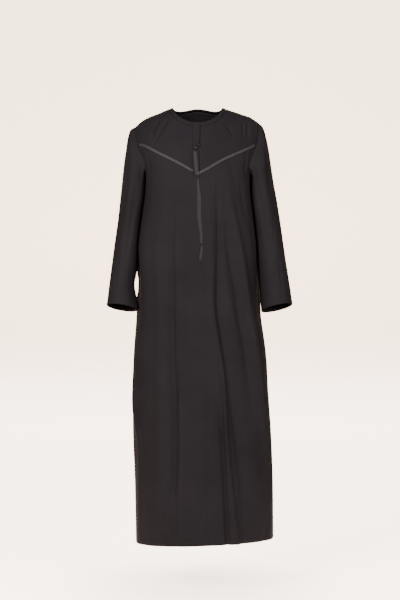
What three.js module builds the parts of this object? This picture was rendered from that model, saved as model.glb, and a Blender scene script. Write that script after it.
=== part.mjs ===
import * as THREE from "three";

// A collarless ankle-length thobe in the hollow form that it takes when it is worn: two yokes that
// meet under a placket, one lower front, one back, two long sleeves, a neckband, a V of woven tape
// with a stem of the same tape down the front, and a ball button in a loop.
// Millimetres. +X is the wearer's left, +Y the wearer's back, +Z up. The origin lies between the
// shoulders, at the height where the cloth rests on them.
// A turn is an angle in degrees round the body: 0 at the centre front, 90 at the wearer's left
// side, -90 at the right side, 180 at the centre back. A fall is the way down the cloth from the
// shoulder line, in radians of the shoulder's roll.

const CLOTH = 2; // wall of one layer
const SEAM_GAP = 0.3; // between two pieces at a seam
const SEAT = 0.6; // between a panel and what lies on it
const HEM_Z = -1380;
const HEM_TILT = 7; // the hem is this much higher at the left side and lower at the right
const SHOULDER_ROLL = 150; // height over which the cloth rolls from the shoulder line to the chest
const BACK_NECK_RISE = 16;
const NECK_TURN = 22.2; // the neck edge meets the shoulder line here
const NECK_FALL = { front: 0.968, back: 0.547 };
const NECK_ROUND = 0.7; // below 1, the neck edge is squarer than an ellipse
const NECKBAND = { turn: 3.3, fall: 0.095 };
const SLIT_X = -4; // the two yokes meet here, under the placket
const HOLLOW_REACH = 50; // how far along Y the hollow under the arm reaches
const DEVELOPED = 3.3; // millimetres of cloth to a degree of turn, near enough for even spacing

// How many strips each stretch of cloth is divided into.
const STRIPS = {
  shoulder: 9,
  frontNeck: 20,
  backNeck: 16,
  yokeArmhole: 5,
  frontArmhole: 7,
  backArmhole: 12,
  skirt: 20,
  sleeve: 14,
  neckband: 2,
  placket: 10,
  armTape: 26,
  tapeWidth: 2,
};
const STEM_STRIP = 14; // length of a strip of the stem
const BALL_FACETS = { up: 8, round: 12 };
const LOOP_FACETS = { cord: 6, round: 18 };

// The worn body form, from the neck down to the hem: half widths to the wearer's right and left,
// depths to the front and back, how deep the arm presses the side in and at what y, and the power
// that squares the section's corners.
const FORM = [
  { z: 60, right: 215, left: 207, front: 98, back: 96, hollow: 0, hollowY: 10, square: 0.7 },
  { z: -60, right: 215, left: 207, front: 106, back: 108, hollow: 0, hollowY: 10, square: 0.7 },
  { z: -110, right: 208, left: 201, front: 113, back: 114, hollow: 0, hollowY: 10, square: 0.7 },
  { z: -150, right: 193, left: 188, front: 117, back: 117, hollow: 0, hollowY: 10, square: 0.7 },
  { z: -200, right: 178, left: 176, front: 121, back: 118, hollow: 13, hollowY: 10, square: 0.7 },
  { z: -260, right: 181, left: 179, front: 124, back: 117, hollow: 20, hollowY: 10, square: 0.71 },
  { z: -320, right: 189, left: 186, front: 126, back: 115, hollow: 21, hollowY: 10, square: 0.72 },
  { z: -380, right: 198, left: 194, front: 128, back: 113, hollow: 21, hollowY: 8, square: 0.73 },
  { z: -440, right: 205, left: 201, front: 130, back: 113, hollow: 19, hollowY: 2, square: 0.74 },
  { z: -560, right: 202.5, left: 206, front: 134, back: 118, hollow: 14, hollowY: -24, square: 0.77 },
  { z: -640, right: 205, left: 209, front: 137, back: 122, hollow: 13, hollowY: -34, square: 0.79 },
  { z: -770, right: 208, left: 220, front: 142, back: 130, hollow: 0, hollowY: -34, square: 0.81 },
  { z: -900, right: 211, left: 228, front: 146, back: 137, hollow: 0, hollowY: 0, square: 0.83 },
  { z: -1030, right: 211, left: 237, front: 149, back: 144, hollow: 0, hollowY: 0, square: 0.85 },
  { z: -1190, right: 205, left: 243, front: 153, back: 152, hollow: 0, hollowY: 0, square: 0.86 },
  { z: -1400, right: 201, left: 245, front: 157, back: 163, hollow: 0, hollowY: 0, square: 0.87 },
];

// Height of the shoulder line over each side, from the middle of the neck outwards. The row at a
// negative turn mirrors the one after next, so that the line is level at the middle.
const RIDGE = [
  { turn: -22, right: 19.5, left: 19.5 },
  { turn: 0, right: 28, left: 28 },
  { turn: 22, right: 19.5, left: 19.5 },
  { turn: 30, right: 9.8, left: 11 },
  { turn: 37, right: 0.3, left: 4.2 },
  { turn: 46.5, right: -9.8, left: -4.8 },
  { turn: 54.5, right: -19.5, left: -11 },
  { turn: 61, right: -29, left: -19 },
  { turn: 69, right: -40.5, left: -27.5 },
  { turn: 75, right: -46.5, left: -31.5 },
  { turn: 90, right: -49, left: -34 },
];

// The front armhole below the shoulder point, down to the underarm. The back one mirrors it.
const SHOULDER_POINT_TURN = 71;
const ARMHOLE = [
  { turn: 70.6, z: -74 },
  { turn: 68.6, z: -103 },
  { turn: 66.2, z: -134 },
  { turn: 65.2, z: -160 },
  { turn: 67.5, z: -180 },
  { turn: 76, z: -192 },
  { turn: 90, z: -196 },
];
const V_END = 2; // the yoke's V ends at this knot of the armhole, the shoulder point being knot 0

// The yokes' lower edge between the armhole and the tip of the V, on each side.
const V_TIP = { x: SLIT_X, z: -206 };
const V_LINE = {
  right: [{ x: -169, z: -111 }, { x: -131, z: -132.5 }, { x: -75, z: -161.5 }, { x: -18, z: -194 }],
  left: [{ x: 157, z: -121 }, { x: 106, z: -145 }, { x: 76, z: -160 }, { x: 27, z: -189 }],
};

// Long folds of the body cloth, each followed from its top to its bottom: where it lies, its half
// width in degrees and how far it stands out of the cloth, or into it where the figure is negative.
const FOLDS = {
  besidePlacketTrough: [
    { z: -215, turn: 20, spread: 3, rise: 0 },
    { z: -330, turn: 19.5, spread: 3.2, rise: -6 },
    { z: -500, turn: 18.3, spread: 3.4, rise: -9 },
    { z: -630, turn: 17.9, spread: 3.6, rise: -11 },
    { z: -720, turn: 20.7, spread: 3.8, rise: -12 },
    { z: -870, turn: 26.2, spread: 4.2, rise: -13 },
    { z: -1070, turn: 32.8, spread: 5, rise: -12 },
    { z: -1250, turn: 43, spread: 6.5, rise: -8 },
    { z: -1400, turn: 50, spread: 7.5, rise: -4 },
  ],
  besidePlacketRidge: [
    { z: -230, turn: 13.6, spread: 2.8, rise: 0 },
    { z: -500, turn: 13.1, spread: 3, rise: 4 },
    { z: -630, turn: 13.3, spread: 3, rise: 5 },
    { z: -820, turn: 20, spread: 2.8, rise: 7 },
    { z: -1040, turn: 22.8, spread: 2.8, rise: 8 },
    { z: -1220, turn: 26, spread: 3, rise: 9 },
    { z: -1400, turn: 31, spread: 3.4, rise: 9 },
  ],
  lowerFrontPleat: [
    { z: -820, turn: 14, spread: 2.4, rise: 0 },
    { z: -1040, turn: 18.6, spread: 2.4, rise: -5 },
    { z: -1280, turn: 22, spread: 2.4, rise: -6 },
    { z: -1400, turn: 23.5, spread: 2.6, rise: -6 },
  ],
  chestToHipRidge: [
    { z: -215, turn: 32, spread: 3.5, rise: 0 },
    { z: -366, turn: 38.8, spread: 4, rise: 5 },
    { z: -544, turn: 48.2, spread: 4.5, rise: 8 },
    { z: -700, turn: 56, spread: 5, rise: 9 },
    { z: -900, turn: 59.5, spread: 5.5, rise: 9 },
    { z: -1100, turn: 67, spread: 6, rise: 8 },
    { z: -1260, turn: 71, spread: 6, rise: 4 },
    { z: -1400, turn: 73, spread: 6, rise: 1 },
  ],
  underRidgeTrough: [
    { z: -230, turn: 27, spread: 3, rise: 0 },
    { z: -446, turn: 29, spread: 3.6, rise: -5 },
    { z: -600, turn: 37, spread: 4.2, rise: -7 },
    { z: -760, turn: 43, spread: 4.6, rise: -6 },
    { z: -950, turn: 47, spread: 5, rise: -2 },
    { z: -1100, turn: 50, spread: 5, rise: 0 },
  ],
  rightThighTrough: [
    { z: -240, turn: -24, spread: 3, rise: 0 },
    { z: -446, turn: -23.9, spread: 3.2, rise: -4 },
    { z: -800, turn: -22, spread: 3.4, rise: -8 },
    { z: -1070, turn: -19.3, spread: 3.4, rise: -8 },
    { z: -1220, turn: -24, spread: 4, rise: -7 },
    { z: -1400, turn: -36, spread: 5, rise: -4 },
  ],
  rightThighRidge: [
    { z: -240, turn: -34, spread: 5, rise: 0 },
    { z: -446, turn: -39, spread: 5, rise: 3 },
    { z: -720, turn: -35.6, spread: 6, rise: 5 },
    { z: -1080, turn: -37, spread: 6, rise: 5 },
    { z: -1400, turn: -46, spread: 7, rise: 3 },
  ],
  rightSideRidge: [
    { z: -820, turn: -84, spread: 4.5, rise: 0 },
    { z: -925, turn: -80, spread: 4.5, rise: 5 },
    { z: -1060, turn: -62, spread: 4.5, rise: 6 },
    { z: -1220, turn: -66, spread: 5, rise: 4 },
    { z: -1400, turn: -70, spread: 6, rise: 2 },
  ],
  leftBladeTrough: [
    { z: -300, turn: 143, spread: 4, rise: 0 },
    { z: -560, turn: 146, spread: 4.5, rise: -7 },
    { z: -900, turn: 141, spread: 5, rise: -11 },
    { z: -1400, turn: 134, spread: 6, rise: -12 },
  ],
  leftBladeRidge: [
    { z: -340, turn: 156, spread: 4, rise: 0 },
    { z: -640, turn: 158, spread: 4.5, rise: 6 },
    { z: -1000, turn: 154, spread: 5, rise: 9 },
    { z: -1400, turn: 150, spread: 5.5, rise: 10 },
  ],
  centreBackTrough: [
    { z: -260, turn: 173, spread: 4, rise: 0 },
    { z: -480, turn: 171, spread: 4.5, rise: -8 },
    { z: -800, turn: 169, spread: 5, rise: -9 },
    { z: -1150, turn: 167, spread: 5, rise: -12 },
    { z: -1400, turn: 166, spread: 5.5, rise: -11 },
  ],
  centreBackRidge: [
    { z: -420, turn: 184, spread: 4, rise: 0 },
    { z: -760, turn: 183, spread: 5, rise: 5 },
    { z: -1400, turn: 185, spread: 6, rise: 8 },
  ],
  rightBladeTrough: [
    { z: -320, turn: 203, spread: 4, rise: 0 },
    { z: -600, turn: 200, spread: 4.5, rise: -8 },
    { z: -950, turn: 202, spread: 5, rise: -10 },
    { z: -1400, turn: 206, spread: 6, rise: -12 },
  ],
  rightBackRidge: [
    { z: -520, turn: 220, spread: 4.5, rise: 0 },
    { z: -900, turn: 222, spread: 5, rise: 7 },
    { z: -1400, turn: 226, spread: 6, rise: 9 },
  ],
};

// The sleeve, ring by ring from the armhole to the cuff. `way` is the share of the way along it.
// The ring's outer and inner ends are given across (from the middle of the body) and in height,
// then its half depth, where its middle lies along Y, and how much its front rises.
const SLEEVE = {
  right: [
    { way: 0, outer: 203, outerZ: -43.5, inner: 166, innerZ: -196, depth: 66, y: 0, lift: 0 },
    { way: 0.06, outer: 219, outerZ: -53, inner: 168, innerZ: -202, depth: 68, y: 1, lift: 0 },
    { way: 0.12, outer: 228, outerZ: -80, inner: 167, innerZ: -210, depth: 71, y: 2, lift: 0 },
    { way: 0.2, outer: 234, outerZ: -117, inner: 166, innerZ: -224, depth: 74, y: 4, lift: 0 },
    { way: 0.3, outer: 241, outerZ: -163, inner: 165.5, innerZ: -250, depth: 75, y: 6, lift: 0 },
    { way: 0.4, outer: 247, outerZ: -222, inner: 167, innerZ: -286, depth: 74, y: 8, lift: 0 },
    { way: 0.5, outer: 253, outerZ: -287, inner: 174, innerZ: -330, depth: 72, y: 8, lift: 0.02 },
    { way: 0.6, outer: 259, outerZ: -350, inner: 181, innerZ: -378, depth: 69, y: 5, lift: 0.06 },
    { way: 0.7, outer: 268, outerZ: -417, inner: 187.5, innerZ: -434, depth: 66, y: -2, lift: 0.1 },
    { way: 0.8, outer: 277, outerZ: -485, inner: 195.5, innerZ: -499, depth: 62, y: -12, lift: 0.14 },
    { way: 0.9, outer: 286, outerZ: -553, inner: 206.5, innerZ: -567, depth: 59, y: -23, lift: 0.18 },
    { way: 1, outer: 295, outerZ: -621, inner: 196.5, innerZ: -636, depth: 56, y: -34, lift: 0.2 },
  ],
  left: [
    { way: 0, outer: 195.5, outerZ: -30, inner: 164, innerZ: -196, depth: 66, y: 0, lift: 0 },
    { way: 0.06, outer: 211, outerZ: -45, inner: 168, innerZ: -202, depth: 68, y: 1, lift: 0 },
    { way: 0.12, outer: 221, outerZ: -76, inner: 169, innerZ: -210, depth: 71, y: 2, lift: 0 },
    { way: 0.2, outer: 230, outerZ: -117, inner: 169, innerZ: -224, depth: 74, y: 4, lift: 0 },
    { way: 0.3, outer: 237, outerZ: -163, inner: 168, innerZ: -250, depth: 75, y: 6, lift: 0 },
    { way: 0.4, outer: 246, outerZ: -222, inner: 168, innerZ: -286, depth: 74, y: 8, lift: 0 },
    { way: 0.5, outer: 257, outerZ: -287, inner: 172, innerZ: -330, depth: 72, y: 8, lift: 0.02 },
    { way: 0.6, outer: 266, outerZ: -350, inner: 179, innerZ: -378, depth: 69, y: 5, lift: 0.06 },
    { way: 0.7, outer: 275, outerZ: -417, inner: 185, innerZ: -434, depth: 66, y: -2, lift: 0.1 },
    { way: 0.8, outer: 285, outerZ: -485, inner: 192, innerZ: -499, depth: 62, y: -12, lift: 0.14 },
    { way: 0.9, outer: 296, outerZ: -553, inner: 198, innerZ: -569, depth: 59, y: -23, lift: 0.18 },
    { way: 1, outer: 305.5, outerZ: -618, inner: 204, innerZ: -640, depth: 56, y: -34, lift: 0.2 },
  ],
};
const SLEEVE_SETTLES = 0.3; // share of the sleeve over which its ring leaves the armhole's shape
const SLEEVE_FOLDS = [
  // around: angle in the ring, 0 outside and 90 in front. Rise as in FOLDS.
  { around: 52, from: 0.12, to: 0.62, spread: 16, rise: -4 },
  { around: 100, from: 0.2, to: 0.8, spread: 14, rise: -5 },
  { around: 20, from: 0.35, to: 0.95, spread: 14, rise: 3 },
  { around: 215, from: 0.1, to: 0.55, spread: 16, rise: -5 },
  { around: 300, from: 0.3, to: 0.9, spread: 15, rise: -4 },
];

// The placket lies on both yokes over the slit, from the neck edge to the tip of the V.
const PLACKET = [
  { z: -38, left: -17.5, right: 7.5 },
  { z: -90, left: -17.5, right: 6.5 },
  { z: -125, left: -17, right: 3.5 },
  { z: -170, left: -16.5, right: 4.5 },
  { z: -211, left: -15, right: 6 },
];
const PLACKET_THICK = 1.2;
const TAPE = { arm: 7.4, thick: 1 };
const ARM_SHORT = 2.5; // the right arm of the V stops this far short of the placket's edge
const ARM_END_X = 7.5; // the left arm of the V runs over the placket up to the stem, as far as this
const ARM_CLIMB = { clear: 2, length: 16 }; // it climbs onto the placket over this length
// The stem of tape: upper on the placket, lower on the front, then a narrow tail.
const STEM_UPPER = [
  { x: -9.7, z: -133, wide: 11 },
  { x: -6.5, z: -171, wide: 11 },
  { x: -3.3, z: -207, wide: 10.5 },
];
const STEM_LOWER = [
  { x: -0.5, z: -220, wide: 6 },
  { x: 0.8, z: -240, wide: 8 },
  { x: 3.8, z: -285, wide: 12.5 },
  { x: 4.2, z: -345, wide: 12.5 },
  { x: 9.4, z: -386, wide: 10.5 },
  { x: 11.6, z: -424, wide: 8.5 },
];
const STEM_TAIL = [
  { x: 11.8, z: -432, wide: 6 },
  { x: 11, z: -450, wide: 9 },
  { x: 8.6, z: -468, wide: 9 },
  { x: 6.6, z: -479, wide: 5 },
];
const BUTTON = { x: -7.8, z: -121, radius: 5, high: 7 };
const LOOP = { radius: 7.4, cord: 1.1 };
const KNOT = { x: 3.2, z: -113, radius: 3.4 };

const COLOURS = { cloth: 0x343032, tape: 0x4f4b4c, button: 0x141214 };

const radians = THREE.MathUtils.degToRad;
const degrees = THREE.MathUtils.radToDeg;
const smooth = (from, to, at) => THREE.MathUtils.smoothstep(at, from, to);
const sideOf = (turn) => (Math.sin(radians(turn)) < 0 ? "right" : "left");

// Reads one column of a table smoothly at a value of its key column, level beyond its ends.
function read(table, key, at, column) {
  const down = table[0][key] > table[1][key] ? -1 : 1;
  const last = table.length - 2;
  let i = 0;
  while (i < last && (table[i + 1][key] - at) * down < 0) i += 1;
  const slope = (k) => {
    const before = table[Math.max(k - 1, 0)];
    const after = table[Math.min(k + 1, table.length - 1)];
    return (after[column] - before[column]) / (after[key] - before[key]);
  };
  const [a, b] = [table[i], table[i + 1]];
  const width = b[key] - a[key];
  const t = THREE.MathUtils.clamp((at - a[key]) / width, 0, 1);
  const [t2, t3] = [t * t, t * t * t];
  return (
    (2 * t3 - 3 * t2 + 1) * a[column] +
    (t3 - 2 * t2 + t) * width * slope(i) +
    (3 * t2 - 2 * t3) * b[column] +
    (t3 - t2) * width * slope(i + 1)
  );
}

// Height of the shoulder line at a turn.
function ridge(turn) {
  const across = degrees(Math.asin(Math.min(Math.abs(Math.sin(radians(turn))), 1)));
  const rise = Math.cos(radians(turn)) < 0 ? BACK_NECK_RISE : 0;
  const inNeck = across < NECK_TURN ? Math.cos((across / NECK_TURN) * (Math.PI / 2)) ** 2 : 0;
  return read(RIDGE, "turn", across, sideOf(turn)) + rise * inNeck;
}

const heightAt = (turn, fall) =>
  ridge(turn) -
  SHOULDER_ROLL * (fall < Math.PI / 2 ? 1 - Math.cos(fall) : 1 + fall - Math.PI / 2);

function fallAt(turn, z) {
  const rolls = (ridge(turn) - z) / SHOULDER_ROLL;
  return rolls < 1 ? Math.acos(1 - Math.max(rolls, 0)) : Math.PI / 2 + rolls - 1;
}

// How far the long folds move the cloth out at a turn and height.
function foldRise(turn, z) {
  const round = turn < -90 ? turn + 360 : turn;
  let rise = 0;
  for (const fold of Object.values(FOLDS)) {
    if (z > fold[0].z) continue;
    const away = (round - read(fold, "z", z, "turn")) / read(fold, "z", z, "spread");
    rise += read(fold, "z", z, "rise") * Math.exp(-away * away);
  }
  return rise;
}

// The smooth body form without folds.
function bodyForm(turn, fall) {
  const z = heightAt(turn, fall);
  const [sine, cosine] = [Math.sin(radians(turn)), Math.cos(radians(turn))];
  const roll = fall < Math.PI / 2 ? Math.sin(fall) : 1;
  const depth = read(FORM, "z", z, cosine < 0 ? "back" : "front");
  const full = Math.abs(cosine) ** read(FORM, "z", z, "square");
  const y = -Math.sign(cosine) * depth * full * roll;
  const pressed = Math.exp(-(((y - read(FORM, "z", z, "hollowY")) / HOLLOW_REACH) ** 2));
  const half = read(FORM, "z", z, sideOf(turn)) - read(FORM, "z", z, "hollow") * pressed;
  return new THREE.Vector3(sine * half, y, z);
}

function bodyNormal(turn, fall) {
  const [dTurn, dFall] = [0.3, 0.005];
  const down = bodyForm(turn, fall + dFall).sub(bodyForm(turn, Math.max(fall - dFall, 0)));
  const round = bodyForm(turn + dTurn, fall).sub(bodyForm(turn - dTurn, fall));
  return down.cross(round).normalize();
}

// A point of the worn cloth, moved out by `out`.
function clothPoint({ turn, fall }, out = 0) {
  const lift = foldRise(turn, heightAt(turn, fall)) + out;
  return bodyForm(turn, fall).addScaledVector(bodyNormal(turn, fall), lift);
}

// The place on the front of the cloth at a distance across and a height.
function frontPlace(x, z) {
  const half = read(FORM, "z", z, x < 0 ? "right" : "left");
  const turn = degrees(Math.asin(x / half));
  return { turn, fall: fallAt(turn, z) };
}

const steps = (count) => Array.from({ length: count + 1 }, (_, k) => k / count);
const place = (p, q, t) => ({
  turn: THREE.MathUtils.lerp(p.turn, q.turn, t),
  fall: THREE.MathUtils.lerp(p.fall, q.fall, t),
});

// Places along a row of knots, each { turn, z }, from one knot to another.
function alongKnots(knots, from, to, count) {
  const spline = new THREE.SplineCurve(
    knots.map(({ turn, z }) => new THREE.Vector2(turn * DEVELOPED, z)),
  );
  return steps(count).map((t) => {
    const at = spline.getPoint(THREE.MathUtils.lerp(from, to, t) / (knots.length - 1));
    const turn = at.x / DEVELOPED;
    return { turn, fall: fallAt(turn, at.y) };
  });
}

// The armhole of one side as places: front from the shoulder point down, back from the underarm up.
function armhole(side) {
  const sign = side === "right" ? -1 : 1;
  const shoulder = { turn: SHOULDER_POINT_TURN, z: ridge(sign * SHOULDER_POINT_TURN) };
  const front = [shoulder, ...ARMHOLE].map(({ turn, z }) => ({ turn: sign * turn, z }));
  const back = front.map(({ turn, z }) => ({ turn: sign * 180 - turn, z }));
  const last = front.length - 1;
  return {
    yoke: alongKnots(front, 0, V_END, STRIPS.yokeArmhole),
    front: alongKnots(front, V_END, last, STRIPS.frontArmhole),
    back: alongKnots(back, last, 0, STRIPS.backArmhole),
  };
}

// The neck line, from the centre front or back out to the shoulder line. `margin` 0 is the edge
// and 1 the neckband's seam.
function neckPlace(side, face, angle, margin) {
  const sign = side === "right" ? -1 : 1;
  const turn = sign * (NECK_TURN + NECKBAND.turn * margin) * Math.sin(angle);
  const reach = NECK_FALL[face] + NECKBAND.fall * margin;
  const fall = reach * Math.max(Math.cos(angle), 0) ** NECK_ROUND;
  return { turn: face === "back" ? 180 - turn : turn, fall };
}

// The angle round the neck line at which it crosses the slit.
function slitAngle(side, margin) {
  const sign = side === "right" ? -1 : 1;
  const half = FORM[0].right;
  return Math.asin((sign * degrees(SLIT_X / half)) / (NECK_TURN + NECKBAND.turn * margin));
}

const frontNeck = (side, margin) =>
  steps(STRIPS.frontNeck).map((t) =>
    neckPlace(side, "front", THREE.MathUtils.lerp(Math.PI / 2, slitAngle(side, margin), t), margin),
  );
const backNeck = (margin) =>
  steps(STRIPS.backNeck).map((t) => {
    const angle = (1 - 2 * t) * (Math.PI / 2);
    return neckPlace(angle < 0 ? "right" : "left", "back", Math.abs(angle), margin);
  });

// The shoulder seam from the shoulder point to the neckband.
const shoulderSeam = (side, face) => {
  const sign = side === "right" ? -1 : 1;
  return steps(STRIPS.shoulder).map((t) => {
    const turn = sign * THREE.MathUtils.lerp(SHOULDER_POINT_TURN, NECK_TURN + NECKBAND.turn, t);
    return { turn: face === "back" ? 180 - turn : turn, fall: 0 };
  });
};

const vLine = (side) => {
  const end = armhole(side).front[0];
  const start = bodyForm(end.turn, end.fall);
  const knots = [{ x: start.x, z: start.z }, ...V_LINE[side], V_TIP];
  const spline = new THREE.SplineCurve(knots.map(({ x, z }) => new THREE.Vector2(x, z)));
  const points = spline.getSpacedPoints(STRIPS.shoulder + STRIPS.frontNeck);
  return points.map((at, k) => (k === 0 ? end : frontPlace(at.x, at.y)));
};

// Fills four edges with places. `low` and `high` run across, `start` and `end` run up. The rows
// keep the share of the height that they have at the start, so that none folds back in the middle.
function fill(low, high, start, end) {
  const share = (at) => (at.fall - start[0].fall) / (start.at(-1).fall - start[0].fall);
  return start.map((_, i) =>
    low.map((_, j) => {
      const [u, v] = [j / (low.length - 1), share(start[i])];
      const across = place(low[j], high[j], v);
      const up = place(start[i], end[i], u);
      const lowCorner = place(low[0], low.at(-1), u);
      const corner = place(lowCorner, place(high[0], high.at(-1), u), v);
      return { turn: across.turn + up.turn - corner.turn, fall: across.fall + up.fall - corner.fall };
    }),
  );
}

const join = (...runs) => runs.flatMap((run, k) => (k === 0 ? run : run.slice(1)));
const reversed = (run) => [...run].reverse();
const hemPlace = (turn) => ({
  turn,
  fall: fallAt(turn, HEM_Z + HEM_TILT * Math.sin(radians(turn))),
});
const sideSeam = (turn) => {
  const under = { turn, fall: fallAt(turn, ARMHOLE.at(-1).z) };
  return steps(STRIPS.skirt).map((t) => place(hemPlace(turn), under, t));
};

// A closed wall between two grids of points. A tube joins its last column to its first.
function wallGeometry(outer, inner, tube = false) {
  const [rows, columns] = [outer.length, outer[0].length];
  const points = [...outer.flat(), ...inner.flat()];
  const at = (layer, i, j) => (layer * rows + i) * columns + (j % columns);
  const index = [];
  // Each quad is split along its shorter diagonal, so that a skewed one shows no false crease.
  const quad = (a, b, c, d) =>
    points[a].distanceToSquared(points[c]) <= points[b].distanceToSquared(points[d])
      ? index.push(a, b, c, a, c, d)
      : index.push(a, b, d, b, c, d);
  const lastColumn = tube ? columns : columns - 1;
  for (let j = 0; j < lastColumn; j += 1) {
    for (let i = 0; i < rows - 1; i += 1) {
      quad(at(0, i, j), at(0, i, j + 1), at(0, i + 1, j + 1), at(0, i + 1, j));
      quad(at(1, i, j), at(1, i + 1, j), at(1, i + 1, j + 1), at(1, i, j + 1));
    }
    quad(at(1, 0, j), at(1, 0, j + 1), at(0, 0, j + 1), at(0, 0, j));
    quad(at(0, rows - 1, j), at(0, rows - 1, j + 1), at(1, rows - 1, j + 1), at(1, rows - 1, j));
  }
  for (let i = 0; !tube && i < rows - 1; i += 1) {
    quad(at(0, i, 0), at(0, i + 1, 0), at(1, i + 1, 0), at(1, i, 0));
    quad(at(1, i, columns - 1), at(1, i + 1, columns - 1), at(0, i + 1, columns - 1), at(0, i, columns - 1));
  }
  let volume = 0;
  for (let k = 0; k < index.length; k += 3) {
    const [a, b, c] = [points[index[k]], points[index[k + 1]], points[index[k + 2]]];
    volume += a.dot(b.clone().cross(c));
  }
  if (volume < 0) index.reverse();
  return new THREE.BufferGeometry().setFromPoints(points).setIndex(index);
}

// Draws the edges of a grid in by half a seam gap. `edges` holds any of low, high, start and end.
function drawIn(grid, edges) {
  const [rows, columns] = [grid.length, grid[0].length];
  const copy = grid.map((row) => row.map((p) => p.clone()));
  const move = (i, j, toI, toJ) => {
    const way = grid[toI][toJ].clone().sub(grid[i][j]);
    copy[i][j].addScaledVector(way.normalize(), SEAM_GAP / 2 + 0.03);
  };
  for (let j = 0; j < columns; j += 1) {
    if (edges.includes("low")) move(0, j, 1, j);
    if (edges.includes("high")) move(rows - 1, j, rows - 2, j);
  }
  for (let i = 0; i < rows; i += 1) {
    if (edges.includes("start")) move(i, 0, i, 1);
    if (edges.includes("end")) move(i, columns - 1, i, columns - 2);
  }
  return copy;
}

const materials = Object.fromEntries(
  Object.entries(COLOURS).map(([name, color]) => [
    name,
    new THREE.MeshStandardMaterial({ color, roughness: name === "button" ? 0.4 : 0.85, metalness: 0 }),
  ]),
);
const garment = new THREE.Group();
function add(name, geometry, material = "cloth") {
  const mesh = new THREE.Mesh(geometry, materials[material]);
  mesh.name = name;
  garment.add(mesh);
}

// Rings of one sleeve. The first is the armhole itself, and each point keeps its angle in the ring.
function sleeveRings(side) {
  const sign = side === "right" ? -1 : 1;
  const seams = armhole(side);
  const loop = join(seams.yoke, seams.front, seams.back).slice(0, -1).map((at) => clothPoint(at));
  const ring = (way) => {
    const value = (column) => read(SLEEVE[side], "way", way, column);
    const outer = new THREE.Vector3(sign * value("outer"), value("y"), value("outerZ"));
    const inner = new THREE.Vector3(sign * value("inner"), value("y"), value("innerZ"));
    return {
      middle: outer.clone().add(inner).multiplyScalar(0.5),
      out: outer.clone().sub(inner).multiplyScalar(0.5),
      front: new THREE.Vector3(0, -1, value("lift")).multiplyScalar(value("depth")),
    };
  };
  const first = ring(0);
  const angles = loop.map((p) => {
    const from = p.clone().sub(first.middle);
    return Math.atan2(from.dot(first.front) / first.front.lengthSq(), from.dot(first.out) / first.out.lengthSq());
  });
  const onRing = (r, angle) =>
    r.middle.clone().addScaledVector(r.out, Math.cos(angle)).addScaledVector(r.front, Math.sin(angle));
  const foldAt = (way, angle) =>
    SLEEVE_FOLDS.reduce((sum, fold) => {
      const away = THREE.MathUtils.euclideanModulo(degrees(angle) - fold.around + 180, 360) - 180;
      const along = THREE.MathUtils.clamp((way - fold.from) / (fold.to - fold.from), 0, 1);
      return sum + fold.rise * Math.sin(along * Math.PI) ** 2 * Math.exp(-((away / fold.spread) ** 2));
    }, 0);
  return steps(STRIPS.sleeve).map((way) => {
    const r = ring(way);
    const keeps = 1 - smooth(0, SLEEVE_SETTLES, way);
    return loop.map((p, j) => {
      const off = p.clone().sub(onRing(first, angles[j]));
      const point = onRing(r, angles[j]).addScaledVector(off, keeps);
      const outward = point.clone().sub(r.middle).normalize();
      return point.addScaledVector(outward, foldAt(way, angles[j]));
    });
  });
}

// Outward normals of a tube's grid.
function tubeNormals(rings) {
  const columns = rings[0].length;
  return rings.map((ring, i) => {
    const middle = ring.reduce((sum, p) => sum.add(p), new THREE.Vector3()).divideScalar(columns);
    return ring.map((p, j) => {
      const along = rings[Math.min(i + 1, rings.length - 1)][j].clone().sub(rings[Math.max(i - 1, 0)][j]);
      const round = ring[(j + 1) % columns].clone().sub(ring[(j + columns - 1) % columns]);
      const normal = along.cross(round).normalize();
      return normal.dot(p.clone().sub(middle)) < 0 ? normal.negate() : normal;
    });
  });
}

// Where the inner edge of the cloth lies under each point of an armhole, so that the sleeve and the
// body meet on one mitre. The longest mitre is limited where the sleeve folds back under the arm.
const LONGEST_MITRE = 2.2;
function mitres(side, rings) {
  const seams = armhole(side);
  const loop = join(seams.yoke, seams.front, seams.back).slice(0, -1);
  const sleeveNormals = tubeNormals(rings)[0];
  return loop.map((at, j) => {
    const body = bodyNormal(at.turn, at.fall);
    const both = body.clone().add(sleeveNormals[j]);
    const stretch = Math.min(2 / Math.max(both.lengthSq(), 1e-6), (LONGEST_MITRE ** 2) / 2);
    return both.multiplyScalar(stretch * CLOTH).clampLength(CLOTH, CLOTH * LONGEST_MITRE);
  });
}

// One sewn panel. Points of the grid that lie on an armhole take their inner edge from its mitres.
function addPanel(name, places, edges, onArmhole) {
  const outer = places.map((row) => row.map((at) => clothPoint(at)));
  const inner = places.map((row, i) =>
    row.map((at, j) => {
      const mitre = onArmhole(i, j);
      const normal = bodyNormal(at.turn, at.fall);
      return outer[i][j].clone().sub(mitre ?? normal.multiplyScalar(CLOTH));
    }),
  );
  add(name, wallGeometry(drawIn(outer, edges), drawIn(inner, edges)));
}

const sides = ["right", "left"];
const sleeves = Object.fromEntries(sides.map((side) => [side, sleeveRings(side)]));
const mitreOf = Object.fromEntries(sides.map((side) => [side, mitres(side, sleeves[side])]));

function addYoke(side) {
  const seams = armhole(side);
  const high = join(shoulderSeam(side, "front"), frontNeck(side, 1));
  const low = vLine(side);
  const start = reversed(seams.yoke);
  const slit = steps(STRIPS.yokeArmhole).map((t) => place(low.at(-1), high.at(-1), t));
  const edges = ["low", "high", "start", "end"];
  addPanel(`front_yoke_${side}`, fill(low, high, start, slit), edges, (i, j) =>
    j === 0 ? mitreOf[side][STRIPS.yokeArmhole - i] : null,
  );
}

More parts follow.
